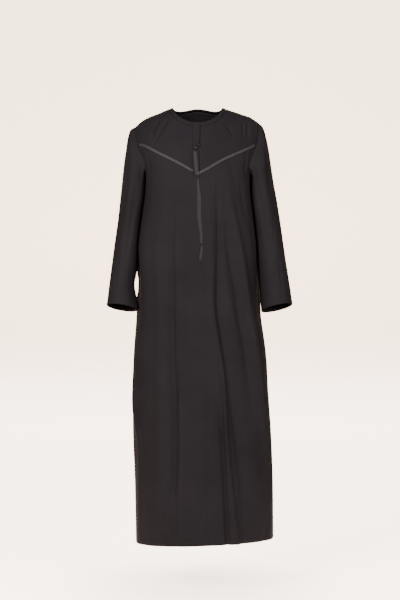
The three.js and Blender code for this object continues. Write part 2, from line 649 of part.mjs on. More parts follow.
function addLowerFront() {
  const start = join(sideSeam(-90), reversed(armhole("right").front));
  const end = join(sideSeam(90), reversed(armhole("left").front));
  const high = join(vLine("right"), reversed(vLine("left")));
  const low = steps(high.length - 1).map((t) => hemPlace(-90 + 180 * t));
  const last = low.length - 1;
  const underarm = STRIPS.yokeArmhole + STRIPS.frontArmhole;
  addPanel("lower_front", fill(low, high, start, end), ["high", "start", "end"], (i, j) => {
    const k = underarm - (i - STRIPS.skirt);
    if (i < STRIPS.skirt || (j !== 0 && j !== last)) return null;
    return mitreOf[j === 0 ? "right" : "left"][k];
  });
}

function addBack() {
  const start = join(sideSeam(90), armhole("left").back);
  const end = join(sideSeam(270), armhole("right").back.map(({ turn, fall }) => ({ turn: turn + 360, fall })));
  const rightShoulder = reversed(shoulderSeam("right", "back"));
  const high = join(shoulderSeam("left", "back"), backNeck(1), rightShoulder);
  const low = steps(high.length - 1).map((t) => hemPlace(90 + 180 * t));
  const last = low.length - 1;
  const underarm = STRIPS.yokeArmhole + STRIPS.frontArmhole;
  addPanel("back", fill(low, high, start, end), ["high", "start", "end"], (i, j) => {
    if (i < STRIPS.skirt || (j !== 0 && j !== last)) return null;
    const loop = mitreOf[j === 0 ? "left" : "right"];
    return loop[(underarm + i - STRIPS.skirt) % loop.length];
  });
}

function addSleeve(side) {
  const outer = sleeves[side];
  const normals = tubeNormals(outer);
  const inner = outer.map((ring, i) =>
    ring.map((p, j) => p.clone().sub(i === 0 ? mitreOf[side][j] : normals[i][j].multiplyScalar(CLOTH))),
  );
  add(`sleeve_${side}`, wallGeometry(drawIn(outer, ["low"]), drawIn(inner, ["low"]), true));
}

function addNeckband() {
  const around = (margin) =>
    join(reversed(frontNeck("left", margin)), backNeck(margin), frontNeck("right", margin));
  const places = steps(STRIPS.neckband).map((t) => around(t));
  const outer = places.map((row) => row.map((at) => clothPoint(at)));
  const inner = places.map((row) => row.map((at) => clothPoint(at, -CLOTH)));
  const edges = ["high", "start", "end"];
  add("neckband", wallGeometry(drawIn(outer, edges), drawIn(inner, edges)));
}

// A strip that lies on the front. Each station gives its two edges, which may be at any slant, and
// how far its underside stands off the cloth.
function addStrip(name, stations, thick, material) {
  const layer = (out) =>
    stations.map(({ from, to, off }) =>
      steps(STRIPS.tapeWidth).map((t) => {
        const x = THREE.MathUtils.lerp(from.x, to.x, t);
        const z = THREE.MathUtils.lerp(from.z, to.z, t);
        return clothPoint(frontPlace(x, z), off + out);
      }),
    );
  add(name, wallGeometry(layer(thick), layer(0)), material);
}

function addPlacket() {
  const [top, bottom] = [PLACKET[0].z, PLACKET.at(-1).z];
  const stations = steps(STRIPS.placket).map((t) => {
    const z = THREE.MathUtils.lerp(top, bottom, t);
    const edge = (column) => ({ x: read(PLACKET, "z", z, column), z });
    return { from: edge("left"), to: edge("right"), off: SEAT };
  });
  addStrip("placket", stations, PLACKET_THICK, "cloth");
}

// The stations of a tape that follows points { x, z }, with a width at each.
function tapeStations(points, widthAt, offAt) {
  return points.map((p, k) => {
    const way = points[Math.min(k + 1, points.length - 1)].clone().sub(points[Math.max(k - 1, 0)]);
    const across = new THREE.Vector2(-way.y, way.x).normalize().multiplyScalar(widthAt(k) / 2);
    const edge = (sign) => ({ x: p.x + sign * across.x, z: p.y + sign * across.y });
    return { from: edge(-1), to: edge(1), off: offAt(p) };
  });
}

const onPlacket = SEAT + PLACKET_THICK + SEAM_GAP;

function addArmTape(side) {
  const knots = vLine(side).map((at) => bodyForm(at.turn, at.fall));
  const spline = new THREE.SplineCurve(knots.map((p) => new THREE.Vector2(p.x, p.z)));
  const placketEdge = read(PLACKET, "z", V_TIP.z, side === "right" ? "left" : "right");
  // The right arm stops at the placket and the left one climbs onto it, as far as the stem.
  const stop = side === "right" ? Math.abs(placketEdge) + ARM_SHORT : ARM_END_X;
  const foot = placketEdge + ARM_CLIMB.clear;
  const onto = (x) => (side === "right" ? 0 : 1 - smooth(foot, foot + ARM_CLIMB.length, x));
  const points = spline
    .getSpacedPoints(STRIPS.armTape)
    .filter((p, k) => k > 0 && Math.abs(p.x) > stop);
  const off = (p) => THREE.MathUtils.lerp(SEAT, onPlacket, onto(p.x));
  addStrip(`yoke_tape_${side}`, tapeStations(points, () => TAPE.arm, off), TAPE.thick, "tape");
}

function addStem(name, table, off) {
  const [top, bottom] = [table[0].z, table.at(-1).z];
  const count = Math.max(4, Math.round((top - bottom) / STEM_STRIP));
  const points = steps(count).map((t) => {
    const z = THREE.MathUtils.lerp(top, bottom, t);
    return new THREE.Vector2(read(table, "z", z, "x"), z);
  });
  const wide = (k) => read(table, "z", points[k].y, "wide");
  addStrip(name, tapeStations(points, wide, () => off), TAPE.thick, "tape");
}

// A ball on the placket, turned about the cloth's normal, at a distance out to its underside.
function addBall(name, { x, z, radius, high = 2 * radius }, off) {
  const profile = steps(BALL_FACETS.up).map((t) => {
    const angle = -Math.PI / 2 + Math.PI * t;
    return new THREE.Vector2(Math.max(radius * Math.cos(angle), 0), (high / 2) * Math.sin(angle));
  });
  profile[0].x = profile.at(-1).x = 0;
  const ball = new THREE.LatheGeometry(profile, BALL_FACETS.round);
  const at = frontPlace(x, z);
  const facing = new THREE.Quaternion().setFromUnitVectors(
    new THREE.Vector3(0, 1, 0),
    bodyNormal(at.turn, at.fall),
  );
  ball.applyQuaternion(facing).translate(...clothPoint(at, off + high / 2));
  add(name, ball, "button");
}

function addLoop() {
  const at = frontPlace(BUTTON.x, BUTTON.z);
  const ring = new THREE.TorusGeometry(LOOP.radius, LOOP.cord, LOOP_FACETS.cord, LOOP_FACETS.round);
  const facing = new THREE.Quaternion().setFromUnitVectors(
    new THREE.Vector3(0, 0, 1),
    bodyNormal(at.turn, at.fall),
  );
  ring.applyQuaternion(facing).translate(...clothPoint(at, onPlacket + LOOP.cord));
  add("button_loop", ring, "tape");
}

sides.forEach(addYoke);
addLowerFront();
addBack();
sides.forEach(addSleeve);
addNeckband();
addPlacket();
sides.forEach(addArmTape);
addStem("stem_tape_upper", STEM_UPPER, onPlacket);
addStem("stem_tape_lower", STEM_LOWER, SEAT);
addStem("stem_tape_tail", STEM_TAIL, SEAT);
addBall("button", BUTTON, onPlacket);
addBall("button_loop_knot", KNOT, onPlacket);
addLoop();

export default garment;
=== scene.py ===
"""Looks of a thobe in its hollow worn form: thin shells of cloth with their folds and turned hems,
tapes, a button in its loop, and sewing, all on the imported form.

Lengths are in millimetres until a mesh is written, which is in metres. A place on the cloth is a
turn round the body in degrees (0 at the centre front, 90 at the left side) and a fall down the
cloth from the shoulder line, in radians of the shoulder's roll. Left and right are as it is worn.
"""
import logging
import math
from dataclasses import dataclass, field
from enum import Enum
from typing import Callable, Sequence

import bmesh
import bpy
import numpy as np
from mathutils import Matrix, Vector


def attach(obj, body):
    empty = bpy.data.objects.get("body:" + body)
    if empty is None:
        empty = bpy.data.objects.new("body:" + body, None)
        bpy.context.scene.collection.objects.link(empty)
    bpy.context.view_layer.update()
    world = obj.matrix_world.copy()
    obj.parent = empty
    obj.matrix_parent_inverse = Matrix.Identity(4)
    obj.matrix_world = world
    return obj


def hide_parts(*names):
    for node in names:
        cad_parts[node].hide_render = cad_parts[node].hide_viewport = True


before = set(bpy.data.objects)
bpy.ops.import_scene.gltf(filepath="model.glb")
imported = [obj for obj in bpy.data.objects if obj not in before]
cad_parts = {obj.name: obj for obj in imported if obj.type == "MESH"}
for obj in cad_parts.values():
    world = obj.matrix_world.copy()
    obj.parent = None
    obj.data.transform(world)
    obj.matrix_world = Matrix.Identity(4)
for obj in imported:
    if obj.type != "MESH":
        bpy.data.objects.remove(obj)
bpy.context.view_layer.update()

METRE = 0.001
DEVELOPED = 3.3  # millimetres of body cloth for each degree of turn
SLEEVE_DEVELOPED = 1.15  # the same for each degree round a sleeve
FORWARD = np.array([0, -1, 0])
log = logging.getLogger("thobe")


class Side(Enum):
    """A side of the garment as it is worn, with its sign along X."""

    RIGHT = -1
    LEFT = 1

    @property
    def label(self) -> str:
        """The side's name as the nodes spell it."""
        return self.name.lower()


class Face(Enum):
    """The front or the back of the garment."""

    FRONT = "front"
    BACK = "back"


class Edge(Enum):
    """An edge of a panel's grid."""

    LOW = "low"
    HIGH = "high"
    START = "start"
    END = "end"


class Table:
    """Rows of numbers with named columns, read smoothly between the rows."""

    def __init__(self, columns: str, rows: Sequence[Sequence[float]]) -> None:
        """Sort the rows by their first column.

        Args:
            columns: names of the columns, with blanks between them; the first is the key.
            rows: one row of numbers for each station.
        """
        data = np.array(rows, dtype=float)
        data = data[np.argsort(data[:, 0])]
        self.columns = dict(zip(columns.split(), data.T))
        self.key = data[:, 0]

    def read(self, column: str, at: np.ndarray) -> np.ndarray:
        """Read a column on a cubic through the rows.

        Args:
            column: the column's name.
            at: values of the key.

        Returns:
            The column's value at each of them, held level beyond the ends.
        """
        key, value = self.key, self.columns[column]
        last = len(key) - 1
        before = np.maximum(np.arange(last + 1) - 1, 0)
        after = np.minimum(np.arange(last + 1) + 1, last)
        slope = (value[after] - value[before]) / (key[after] - key[before])
        i = np.clip(np.searchsorted(key, at, side="right") - 1, 0, last - 1)
        width = key[i + 1] - key[i]
        t = np.clip((at - key[i]) / width, 0, 1)
        return (
            (2 * t**3 - 3 * t**2 + 1) * value[i]
            + (t**3 - 2 * t**2 + t) * width * slope[i]
            + (3 * t**2 - 2 * t**3) * value[i + 1]
            + (t**3 - t**2) * width * slope[i + 1]
        )


def spline(knots: Sequence[Sequence[float]], at: np.ndarray) -> np.ndarray:
    """Follow a Catmull-Rom curve.

    Args:
        knots: the points that the curve runs through.
        at: share of the way along it, counted by knots.

    Returns:
        A point of the curve for each share.
    """
    points = np.array(knots, dtype=float)
    last = len(points) - 1
    place = np.clip(at, 0, 1) * last
    i = np.minimum(place.astype(int), last - 1)
    t = (place - i)[:, None]
    a, b = points[np.maximum(i - 1, 0)], points[i]
    c, d = points[i + 1], points[np.minimum(i + 2, last)]
    into, out = (c - a) / 2, (d - b) / 2
    return (2 * b - 2 * c + into + out) * t**3 + (3 * c - 3 * b - 2 * into - out) * t**2 + into * t + b


def travelled(points: np.ndarray, axis: int = 0) -> np.ndarray:
    """Measure the way along rows or columns of points.

    Args:
        points: the points, with their coordinates on the last axis.
        axis: the axis to go along.

    Returns:
        The length up to each point, from 0.
    """
    steps = np.linalg.norm(np.diff(points, axis=axis), axis=-1)
    return np.concatenate([np.zeros_like(np.take(steps, [0], axis)), np.cumsum(steps, axis=axis)], axis)


def evenly(points: np.ndarray, at: np.ndarray) -> np.ndarray:
    """Place points along a polyline by its length.

    Args:
        points: a fine polyline.
        at: shares of its length.

    Returns:
        The points at those shares.
    """
    length = travelled(points)
    return np.stack([np.interp(at * length[-1], length, column) for column in points.T], 1)


def unit(vectors: np.ndarray) -> np.ndarray:
    """Scale vectors to length one.

    Args:
        vectors: an array whose last axis holds each vector.

    Returns:
        The scaled vectors.
    """
    return vectors / np.maximum(np.linalg.norm(vectors, axis=-1, keepdims=True), 1e-9)


@dataclass(frozen=True)
class Crease:
    """A fold or a pull in the cloth, laid along a path on the developed cloth.

    The path's rows are (turn in degrees, height or way in millimetres, half width, rise). A
    positive rise stands out and a negative one sinks in. `bite` makes the flank on the side of
    growing turn steeper, from 0 for an even fold to 0.7 for a sharp one.
    """

    path: tuple[tuple[float, float, float, float], ...]
    bite: float = 0.0


@dataclass
class Relief:
    """All the folds of one stretch of cloth."""

    creases: Sequence[Crease]
    degree: float = DEVELOPED
    finer: int = 6

    def rise(self, turn: np.ndarray, down: np.ndarray) -> np.ndarray:
        """Add up the folds.

        Args:
            turn: degrees round the form.
            down: height or way along the form, in millimetres.

        Returns:
            How far the cloth stands out at each place, in millimetres.
        """
        total = np.zeros(turn.shape)
        points = np.stack([turn * self.degree, down], -1)
        for crease in self.creases:
            rows = np.array(crease.path)
            line = spline(rows, np.linspace(0, 1, (len(rows) - 1) * self.finer + 1))
            line[:, 0] *= self.degree
            reach = 3.2 * line[:, 2].max()
            low, high = line[:, :2].min(0) - reach, line[:, :2].max(0) + reach
            near = np.all((points > low) & (points < high), -1)
            if near.any():
                total[near] += self._one(points[near], line, crease.bite)
        return total

    @staticmethod
    def _one(points: np.ndarray, line: np.ndarray, bite: float) -> np.ndarray:
        """Measure one fold at some points.

        Args:
            points: developed points.
            line: the fold's fine path, with half width and rise.
            bite: how uneven its flanks are.

        Returns:
            The fold's rise at each point.
        """
        best = np.full(len(points), np.inf)
        value = np.zeros(len(points))
        for a, b in zip(line[:-1], line[1:]):
            along = b[:2] - a[:2]
            size = float(np.hypot(*along)) or 1e-6
            t = np.clip((points - a[:2]) @ along / size**2, 0, 1)
            off = points - (a[:2] + t[:, None] * along)
            away = np.hypot(off[:, 0], off[:, 1])
            closer = away < best
            best = np.where(closer, away, best)
            downwards = -1.0 if along[1] < 0 else 1.0
            flank = np.sign(off[:, 0] * along[1] - off[:, 1] * along[0]) * downwards
            width = (a[2] + t * (b[2] - a[2])) * (1 - bite * flank)
            height = a[3] + t * (b[3] - a[3])
            value = np.where(closer, height * np.exp(-((away / width) ** 2)), value)
        return value


# The worn body form, from the neck down to the hem.
FORM = Table(
    "z right left front back hollow hollow_y square",
    (
        (60, 215, 207, 98, 96, 0, 10, 0.7),
        (-60, 215, 207, 106, 108, 0, 10, 0.7),
        (-110, 208, 201, 113, 114, 0, 10, 0.7),
        (-150, 193, 188, 117, 117, 0, 10, 0.7),
        (-200, 178, 176, 121, 118, 13, 10, 0.7),
        (-260, 181, 179, 124, 117, 20, 10, 0.71),
        (-320, 189, 186, 126, 115, 21, 10, 0.72),
        (-380, 198, 194, 128, 113, 21, 8, 0.73),
        (-440, 205, 201, 130, 113, 19, 2, 0.74),
        (-560, 202.5, 206, 134, 118, 14, -24, 0.77),
        (-640, 205, 209, 137, 122, 13, -34, 0.79),
        (-770, 208, 220, 142, 130, 0, -34, 0.81),
        (-900, 211, 228, 146, 137, 0, 0, 0.83),
        (-1030, 211, 237, 149, 144, 0, 0, 0.85),
        (-1190, 205, 243, 153, 152, 0, 0, 0.86),
        (-1400, 201, 245, 157, 163, 0, 0, 0.87),
    ),
)
RIDGE = Table(
    "turn right left",
    (
        (-22, 19.5, 19.5),
        (0, 28, 28),
        (22, 19.5, 19.5),
        (30, 9.8, 11),
        (37, 0.3, 4.2),
        (46.5, -9.8, -4.8),
        (54.5, -19.5, -11),
        (61, -29, -19),
        (69, -40.5, -27.5),
        (75, -46.5, -31.5),
        (90, -49, -34),
    ),
)
SHOULDER_ROLL = 150.0
BACK_NECK_RISE = 16.0
NECK_TURN = 22.2
NECK_FALL = {Face.FRONT: 0.968, Face.BACK: 0.547}
NECK_ROUND = 0.7
NECKBAND_TURN, NECKBAND_FALL = 3.3, 0.095
HOLLOW_REACH = 50.0
NORMAL_FALL, NORMAL_TURN = 0.005, 0.3  # the steps over which a normal is measured
HEM_Z, HEM_TILT = -1380.0, 7.0
SLIT_X = -4.0
SHOULDER_POINT_TURN = 71.0
# Half of an armhole, as turn and height from under the shoulder point down to the underarm.
ARMHOLE = ((70.6, -74), (68.6, -103), (66.2, -134), (65.2, -160), (67.5, -180), (76, -192), (90, -196))
UNDERARM = len(ARMHOLE)
V_END = 2
V_TIP = (SLIT_X, -206.0)
V_LINE = {
    Side.RIGHT: ((-169, -111), (-131, -132.5), (-75, -161.5), (-18, -194)),
    Side.LEFT: ((157, -121), (106, -145), (76, -160), (27, -189)),
}
UNDERARM_Z = -196.0
SHOULDER_SHARE = 9 / 29
BACK_SHOULDER_SHARE = 9 / 34
SKIRT_SHARE = {Face.FRONT: 20 / 27, Face.BACK: 20 / 32}

# Long folds of the body cloth: turn, height, half width and rise.
BODY_FOLDS = (
    # The trough beside the placket, which fades low on the left half.
    Crease(
        (
            (20, -215, 9, 0), (19.5, -330, 10, -5), (18.3, -500, 10, -8), (17.9, -630, 11, -10),
            (20.7, -720, 12, -10), (26.2, -870, 13, -4), (32.8, -1070, 16, -2.5),
            (43, -1250, 21, -2), (50, -1388, 24, -1),
        ),
        bite=-0.3,
    ),
    # The ridge that runs along it.
    Crease(
        (
            (13.6, -230, 9, 0), (13.1, -500, 9, 4), (13.3, -630, 9, 5), (20, -820, 8, 7),
            (22.8, -1040, 8, 8), (26, -1220, 9, 9), (31, -1388, 11, 9),
        ),
        bite=0.35,
    ),
    # A narrow pleat of the lower front.
    Crease(
        (
            (14, -820, 7, 0), (18.6, -1040, 6.5, -4.5), (22, -1280, 6.5, -6), (23.5, -1388, 7, -6),
        ),
        bite=0.3,
    ),
    # The soft ridge from high on the left half to the side of the hem.
    Crease(
        (
            (32, -215, 11, 0), (38.8, -366, 13, 5), (48.2, -544, 15, 8), (56, -700, 17, 9),
            (59.5, -900, 18, 9), (67, -1100, 20, 8), (71, -1260, 20, 4), (73, -1388, 20, 1),
        ),
    ),
    # The trough under that ridge.
    Crease(
        (
            (27, -230, 10, 0), (29, -446, 12, -5), (37, -600, 14, -7), (43, -760, 15, -6),
            (47, -950, 16, -2), (50, -1100, 16, 0),
        ),
    ),
    # The trough and ridge down the right half.
    Crease(
        (
            (-24, -240, 10, 0), (-23.9, -446, 10, -4), (-22, -800, 11, -8), (-19.3, -1070, 11, -8),
            (-24, -1220, 13, -7), (-36, -1388, 16, -4),
        ),
        bite=0.2,
    ),
    Crease(
        (
            (-34, -240, 16, 0), (-39, -446, 16, 3), (-35.6, -720, 20, 5), (-37, -1080, 20, 5),
            (-46, -1388, 23, 3),
        ),
    ),
    # The ridge along the right side of the skirt.
    Crease(
        (
            (-84, -820, 15, 0), (-80, -925, 15, 5), (-62, -1060, 15, 6), (-66, -1220, 16, 4),
            (-70, -1388, 20, 2),
        ),
        bite=0.3,
    ),
    # The back.
    Crease(
        (
            (143, -300, 13, 0), (146, -560, 15, -7), (141, -900, 16, -11), (134, -1388, 20, -12),
        ),
        bite=0.2,
    ),
    Crease(((156, -340, 13, 0), (158, -640, 15, 6), (154, -1000, 16, 9), (150, -1388, 18, 10)), bite=-0.2),
    Crease(
        (
            (173, -260, 13, 0), (171, -480, 15, -8), (169, -800, 16, -9), (167, -1150, 16, -12),
            (166, -1388, 18, -11),
        ),
        bite=0.25,
    ),
    Crease(((184, -420, 13, 0), (183, -760, 16, 5), (185, -1388, 20, 8))),
    Crease(
        (
            (203, -320, 13, 0), (200, -600, 15, -8), (202, -950, 16, -10), (206, -1388, 20, -12),
        ),
        bite=-0.25,
    ),
    Crease(((220, -520, 15, 0), (222, -900, 16, 7), (226, -1388, 20, 9))),
)


# Finer folds, which only the looks have: the soft breaks of the skirt, the pulls of the upper
# front and the creases at the shoulders and armholes.
FINE_FOLDS = (
    # The sharp ridge low on the left half and the broad trough beside it.
    Crease(
        (
            (20.8, -750, 5.2, 0), (21.3, -905, 5.2, 3.6), (21.8, -1063, 5.2, 4.8),
            (23, -1204, 5.4, 4.4), (25.2, -1382, 5.8, 3.2),
        ),
        bite=0.3,
    ),
    Crease(
        (
            (25.5, -820, 9, 0), (29.6, -1000, 12, -6), (33.5, -1143, 14, -7.5),
            (35.8, -1253, 15, -6), (37.5, -1383, 15, -3),
        ),
        bite=-0.2,
    ),
    # The main trough goes on down to the hem.
    Crease(
        (
            (17.6, -718, 5.2, 0), (18.2, -873, 5.3, -5), (18.9, -999, 5.3, -6), (20, -1110, 5.3, -6),
            (22.4, -1381, 5.6, -4),
        ),
        bite=-0.3,
    ),
    # The highlight along the left side and the notch under it.
    Crease(
        (
            (56.7, -680, 8, 0), (60.6, -835, 8.5, 5), (65.7, -957, 9.5, 6.5), (70.4, -1070, 11, 6),
            (74.5, -1247, 13, 2),
        ),
    ),
    Crease(((74.5, -1247, 13, 0), (66.6, -1315, 11, -2.4), (57.8, -1389, 10, -3.2))),
    # Soft diagonals down the left half.
    Crease(
        (
            (23.3, -370, 8, 0), (31.2, -477, 9, -2.2), (39.2, -566, 10, -2.6),
            (46.5, -662, 11, -1.8), (52.1, -751, 12, 0),
        ),
        bite=0.25,
    ),
    Crease(((17.8, -414, 6.5, 0), (23.8, -525, 7, 1.6), (30.2, -620, 8, 1.8), (35.9, -731, 8, 0))),
    Crease(((30.3, -156, 6.6, 0), (39.3, -203, 8.8, -1.8), (45.3, -266, 9.5, 0))),
    Crease(((49.3, -221, 9.4, 0), (52, -291, 10, -2.2), (54.5, -368, 10.8, 0))),
    Crease(((62.7, -332, 11, 0), (65.3, -412, 13, -2), (68, -524, 14, 0))),
    Crease(((12.6, -185, 4.1, 0), (14, -217, 4.5, -1.3), (14.9, -256, 4.5, 0))),
    # The right half: the long dark line, and the broad plane beside it.
    Crease(
        (
            (-16.8, -715, 7.5, 0), (-18.7, -889, 8.5, -4), (-20.1, -1037, 9.5, -5.5),
            (-20.7, -1204, 10, -5.5), (-20.1, -1380, 10, -4),
        ),
        bite=0.35,
    ),
    Crease(((-57.8, -940, 8, 0), (-60.4, -1036, 10, 2.2), (-65.5, -1164, 11, 0))),
    Crease(
        (
            (-30.4, -700, 11.4, 0), (-30.6, -921, 12.5, 2.4), (-33.2, -1111, 13.8, 2.6),
            (-36.6, -1383, 14.8, 1.6),
        ),
    ),
    Crease(
        (
            (-29.4, -255, 9, 0), (-24.5, -382, 8.6, -1.5), (-23.9, -541, 8.4, -1.7),
            (-25.4, -700, 8.4, 0),
        ),
    ),
    Crease(
        (
            (-12.9, -287, 7.3, 0), (-9.7, -446, 7, -1.3), (-8.8, -636, 7, -1.6),
            (-9.5, -857, 7, -1.1), (-8.5, -1015, 7, 0),
        ),
    ),
    Crease(((6.8, -699, 6.5, 0), (8, -889, 6.5, -1.4), (8.4, -1078, 6.5, -2), (8.2, -1379, 7, -1.6))),
    # The shoulders.
    Crease(((-36, -22, 4, 0), (-39, -52, 5.5, -7), (-43.7, -90, 4.5, 0)), bite=0.3),
    Crease(((-25.5, -14, 4, 0), (-29, -41, 5, -5), (-34.6, -72, 5, -4.6), (-44, -112, 4.5, 0)), bite=0.3),
    Crease(((-42, -30, 5, 0), (-45, -58, 6, 3.4), (-49, -92, 5, 0))),
    Crease(((50.7, -30, 4.6, 0), (50.4, -54, 5, -5), (51.1, -86, 4.7, 0))),
    Crease(((44.8, -28, 4.1, 0), (44.3, -51, 4.6, -4), (44.7, -82, 4.2, 0))),
    Crease(((24.6, -34, 4.5, 0), (29.1, -59, 5.4, -3.4), (34.3, -88, 5, 0))),
    # Pulls at the front of each armhole.
    Crease(((52, -124, 5, 0), (55, -150, 6, -2.6), (58, -178, 7, -2.2), (60, -206, 7, 0)), bite=0.3),
    Crease(((-52, -134, 5, 0), (-56, -162, 6, -2.6), (-58, -200, 7, -2.2), (-59, -250, 8, 0)), bite=0.3),
    # The line of shade along the placket's left edge and down both sides of the stem.
    Crease(((2.4, -40, 2.4, -2.2), (2.3, -90, 2.4, -2.4), (1.5, -112, 2.4, -2), (1.2, -124, 2.2, 0))),
    Crease(((-5.9, -128, 2.6, 0), (-5.8, -160, 2.8, -2.2), (-5.6, -200, 2.8, -1.8), (-5.2, -214, 2.6, 0))),
    Crease(((1.9, -128, 2.6, 0), (2, -160, 2.8, -2), (2.4, -200, 2.8, -1.6), (2.6, -214, 2.6, 0))),
    # The sides, where the cloth fills the space beside the sleeve.
    Crease(((106, -425, 14, 0), (106, -485, 15, 5.5), (106, -610, 15, 6), (106, -690, 15, 0))),
    Crease(((256, -425, 14, 0), (256, -474, 16, 8), (256, -516, 15, 6), (256, -545, 14, 0))),
    Crease(((256, -572, 13, 0), (256, -610, 15, 7), (256, -665, 14, 0))),
    Crease(((90, -203, 14, 0), (90, -222, 17, 4.5), (90, -270, 17, 3), (90, -330, 16, 0))),
    # Stress pulls at the foot of the slit.
    Crease(((-2.2, -452, 2.6, 0), (-1.2, -468, 2.8, -0.9), (-0.4, -486, 2.6, 0))),
    Crease(((8.3, -464, 2.6, 0), (4.6, -472, 2.8, -0.9), (0.4, -480, 2.6, 0))),
    Crease(((0.2, -484, 2.4, 0), (0.2, -500, 2.6, -1), (0.2, -518, 2.4, 0))),
    # The back: pulls high up, then breaks that run down to the hem.
    Crease(((128, -92, 7, 0), (133, -150, 8, -2), (141, -232, 9, 0)), bite=0.2),
    Crease(((231, -100, 7, 0), (226, -164, 8, -2.2), (217, -250, 9, 0)), bite=-0.2),
    Crease(((118, -168, 8, 0), (121, -260, 9, -2.4), (128, -380, 10, -2), (131, -520, 10, 0))),
    Crease(((243, -180, 8, 0), (239, -280, 9, -2.2), (233, -400, 10, -1.8), (230, -560, 10, 0))),
    Crease(((163, -240, 8, 0), (164, -420, 9, -2), (161, -640, 9, -2.4), (163, -860, 9, 0))),
    Crease(((193, -300, 8, 0), (191, -520, 9, -2.2), (193, -760, 9, -2), (191, -940, 9, 0))),
    Crease(((176, -700, 7, 0), (177, -880, 7.5, 2), (176, -1120, 8, 2.6), (177, -1388, 8, 2))),
    Crease(
        (
            (124, -640, 9, 0), (121, -860, 10, -2.6), (117, -1120, 11, -3), (114, -1388, 12, -2.4),
        ),
        bite=0.25,
    ),
    Crease(
        (
            (238, -700, 9, 0), (240, -920, 10, -2.8), (243, -1160, 11, -3), (245, -1388, 12, -2.2),
        ),
        bite=-0.25,
    ),
    Crease(((192, -900, 8, 0), (194, -1080, 8.5, -2.4), (195, -1388, 9, -3))),
    Crease(((104, -760, 9, 0), (101, -960, 10, 2), (99, -1180, 11, 2.2), (98, -1388, 12, 1.4))),
    Crease(((257, -820, 9, 0), (260, -1010, 10, 2), (262, -1220, 11, 2), (263, -1388, 12, 1.2))),
)


class WornForm:
    """The shape that the worn cloth takes."""

    def __init__(self, folds: Sequence[Crease]) -> None:
        """Keep the folds.

        Args:
            folds: the folds of the body cloth.
        """
        self.relief = Relief(folds)

    @staticmethod
    def _sides(turn: np.ndarray, right: np.ndarray, left: np.ndarray) -> np.ndarray:
        """Pick the right side's value or the left side's.

        Args:
            turn: degrees round the body.
            right: values for the right side.
            left: values for the left side.

        Returns:
            The value at each turn.
        """
        return np.where(np.sin(np.radians(turn)) < 0, right, left)

    def ridge(self, turn: np.ndarray) -> np.ndarray:
        """Give the height of the shoulder line.

        Args:
            turn: degrees round the body.

        Returns:
            Its height at each turn.
        """
        across = np.degrees(np.arcsin(np.minimum(np.abs(np.sin(np.radians(turn))), 1)))
        inside = np.where(across < NECK_TURN, np.cos(across / NECK_TURN * np.pi / 2) ** 2, 0)
        rise = np.where(np.cos(np.radians(turn)) < 0, BACK_NECK_RISE, 0) * inside
        return self._sides(turn, RIDGE.read("right", across), RIDGE.read("left", across)) + rise

    def height(self, turn: np.ndarray, fall: np.ndarray) -> np.ndarray:
        """Give the height of a place.

        Args:
            turn: degrees round the body.
            fall: way down the cloth.

        Returns:
            Its height.
        """
        rolled = np.where(fall < np.pi / 2, 1 - np.cos(fall), 1 + fall - np.pi / 2)
        return self.ridge(turn) - SHOULDER_ROLL * rolled

    def fall(self, turn: np.ndarray, z: np.ndarray) -> np.ndarray:
        """Find the way down the cloth to a height.

        Args:
            turn: degrees round the body.
            z: height.

        Returns:
            The fall at which the cloth passes that height.
        """
        rolls = np.maximum((self.ridge(turn) - z) / SHOULDER_ROLL, 0)
        return np.where(rolls < 1, np.arccos(np.clip(1 - rolls, -1, 1)), np.pi / 2 + rolls - 1)

    def smooth(self, turn: np.ndarray, fall: np.ndarray) -> np.ndarray:
        """Give points of the form without its folds.

        Args:
            turn: degrees round the body.
            fall: way down the cloth.

        Returns:
            The points.
        """
        z = self.height(turn, fall)
        sine, cosine = np.sin(np.radians(turn)), np.cos(np.radians(turn))
        roll = np.where(fall < np.pi / 2, np.sin(fall), 1)
        depth = np.where(cosine < 0, FORM.read("back", z), FORM.read("front", z))
        y = -np.sign(cosine) * depth * np.abs(cosine) ** FORM.read("square", z) * roll
        pressed = np.exp(-(((y - FORM.read("hollow_y", z)) / HOLLOW_REACH) ** 2))
        half = self._sides(turn, FORM.read("right", z), FORM.read("left", z))
        half = half - FORM.read("hollow", z) * pressed
        return np.stack([sine * half, y, z], -1)

    def normal(self, turn: np.ndarray, fall: np.ndarray) -> np.ndarray:
        """Give the outward normals of the form without its folds.

        Args:
            turn: degrees round the body.
            fall: way down the cloth.

        Returns:
            The normals.
        """
        above = np.maximum(fall - NORMAL_FALL, 0)
        down = self.smooth(turn, fall + NORMAL_FALL) - self.smooth(turn, above)
        around = self.smooth(turn + NORMAL_TURN, fall) - self.smooth(turn - NORMAL_TURN, fall)
        return unit(np.cross(down, around))

    def cloth(self, places: np.ndarray, out: float | np.ndarray = 0.0) -> np.ndarray:
        """Give points of the folded cloth.

        Args:
            places: an array whose last axis holds turn and fall.
            out: how far to move each point out of the cloth.

        Returns:
            The points.
        """
        turn, fall = places[..., 0], places[..., 1]
        around = np.where(turn < -90, turn + 360, turn)
        lift = self.relief.rise(around, self.height(turn, fall)) + out
        return self.smooth(turn, fall) + self.normal(turn, fall) * lift[..., None]

    def front(self, x: np.ndarray, z: np.ndarray) -> np.ndarray:
        """Find the place on the front at a distance across and a height.

        Args:
            x: distance to the left of the middle.
            z: height.

        Returns:
            The places.
        """
        half = np.where(x < 0, FORM.read("right", z), FORM.read("left", z))
        turn = np.degrees(np.arcsin(np.clip(x / half, -1, 1)))
        return np.stack([turn, self.fall(turn, z)], -1)


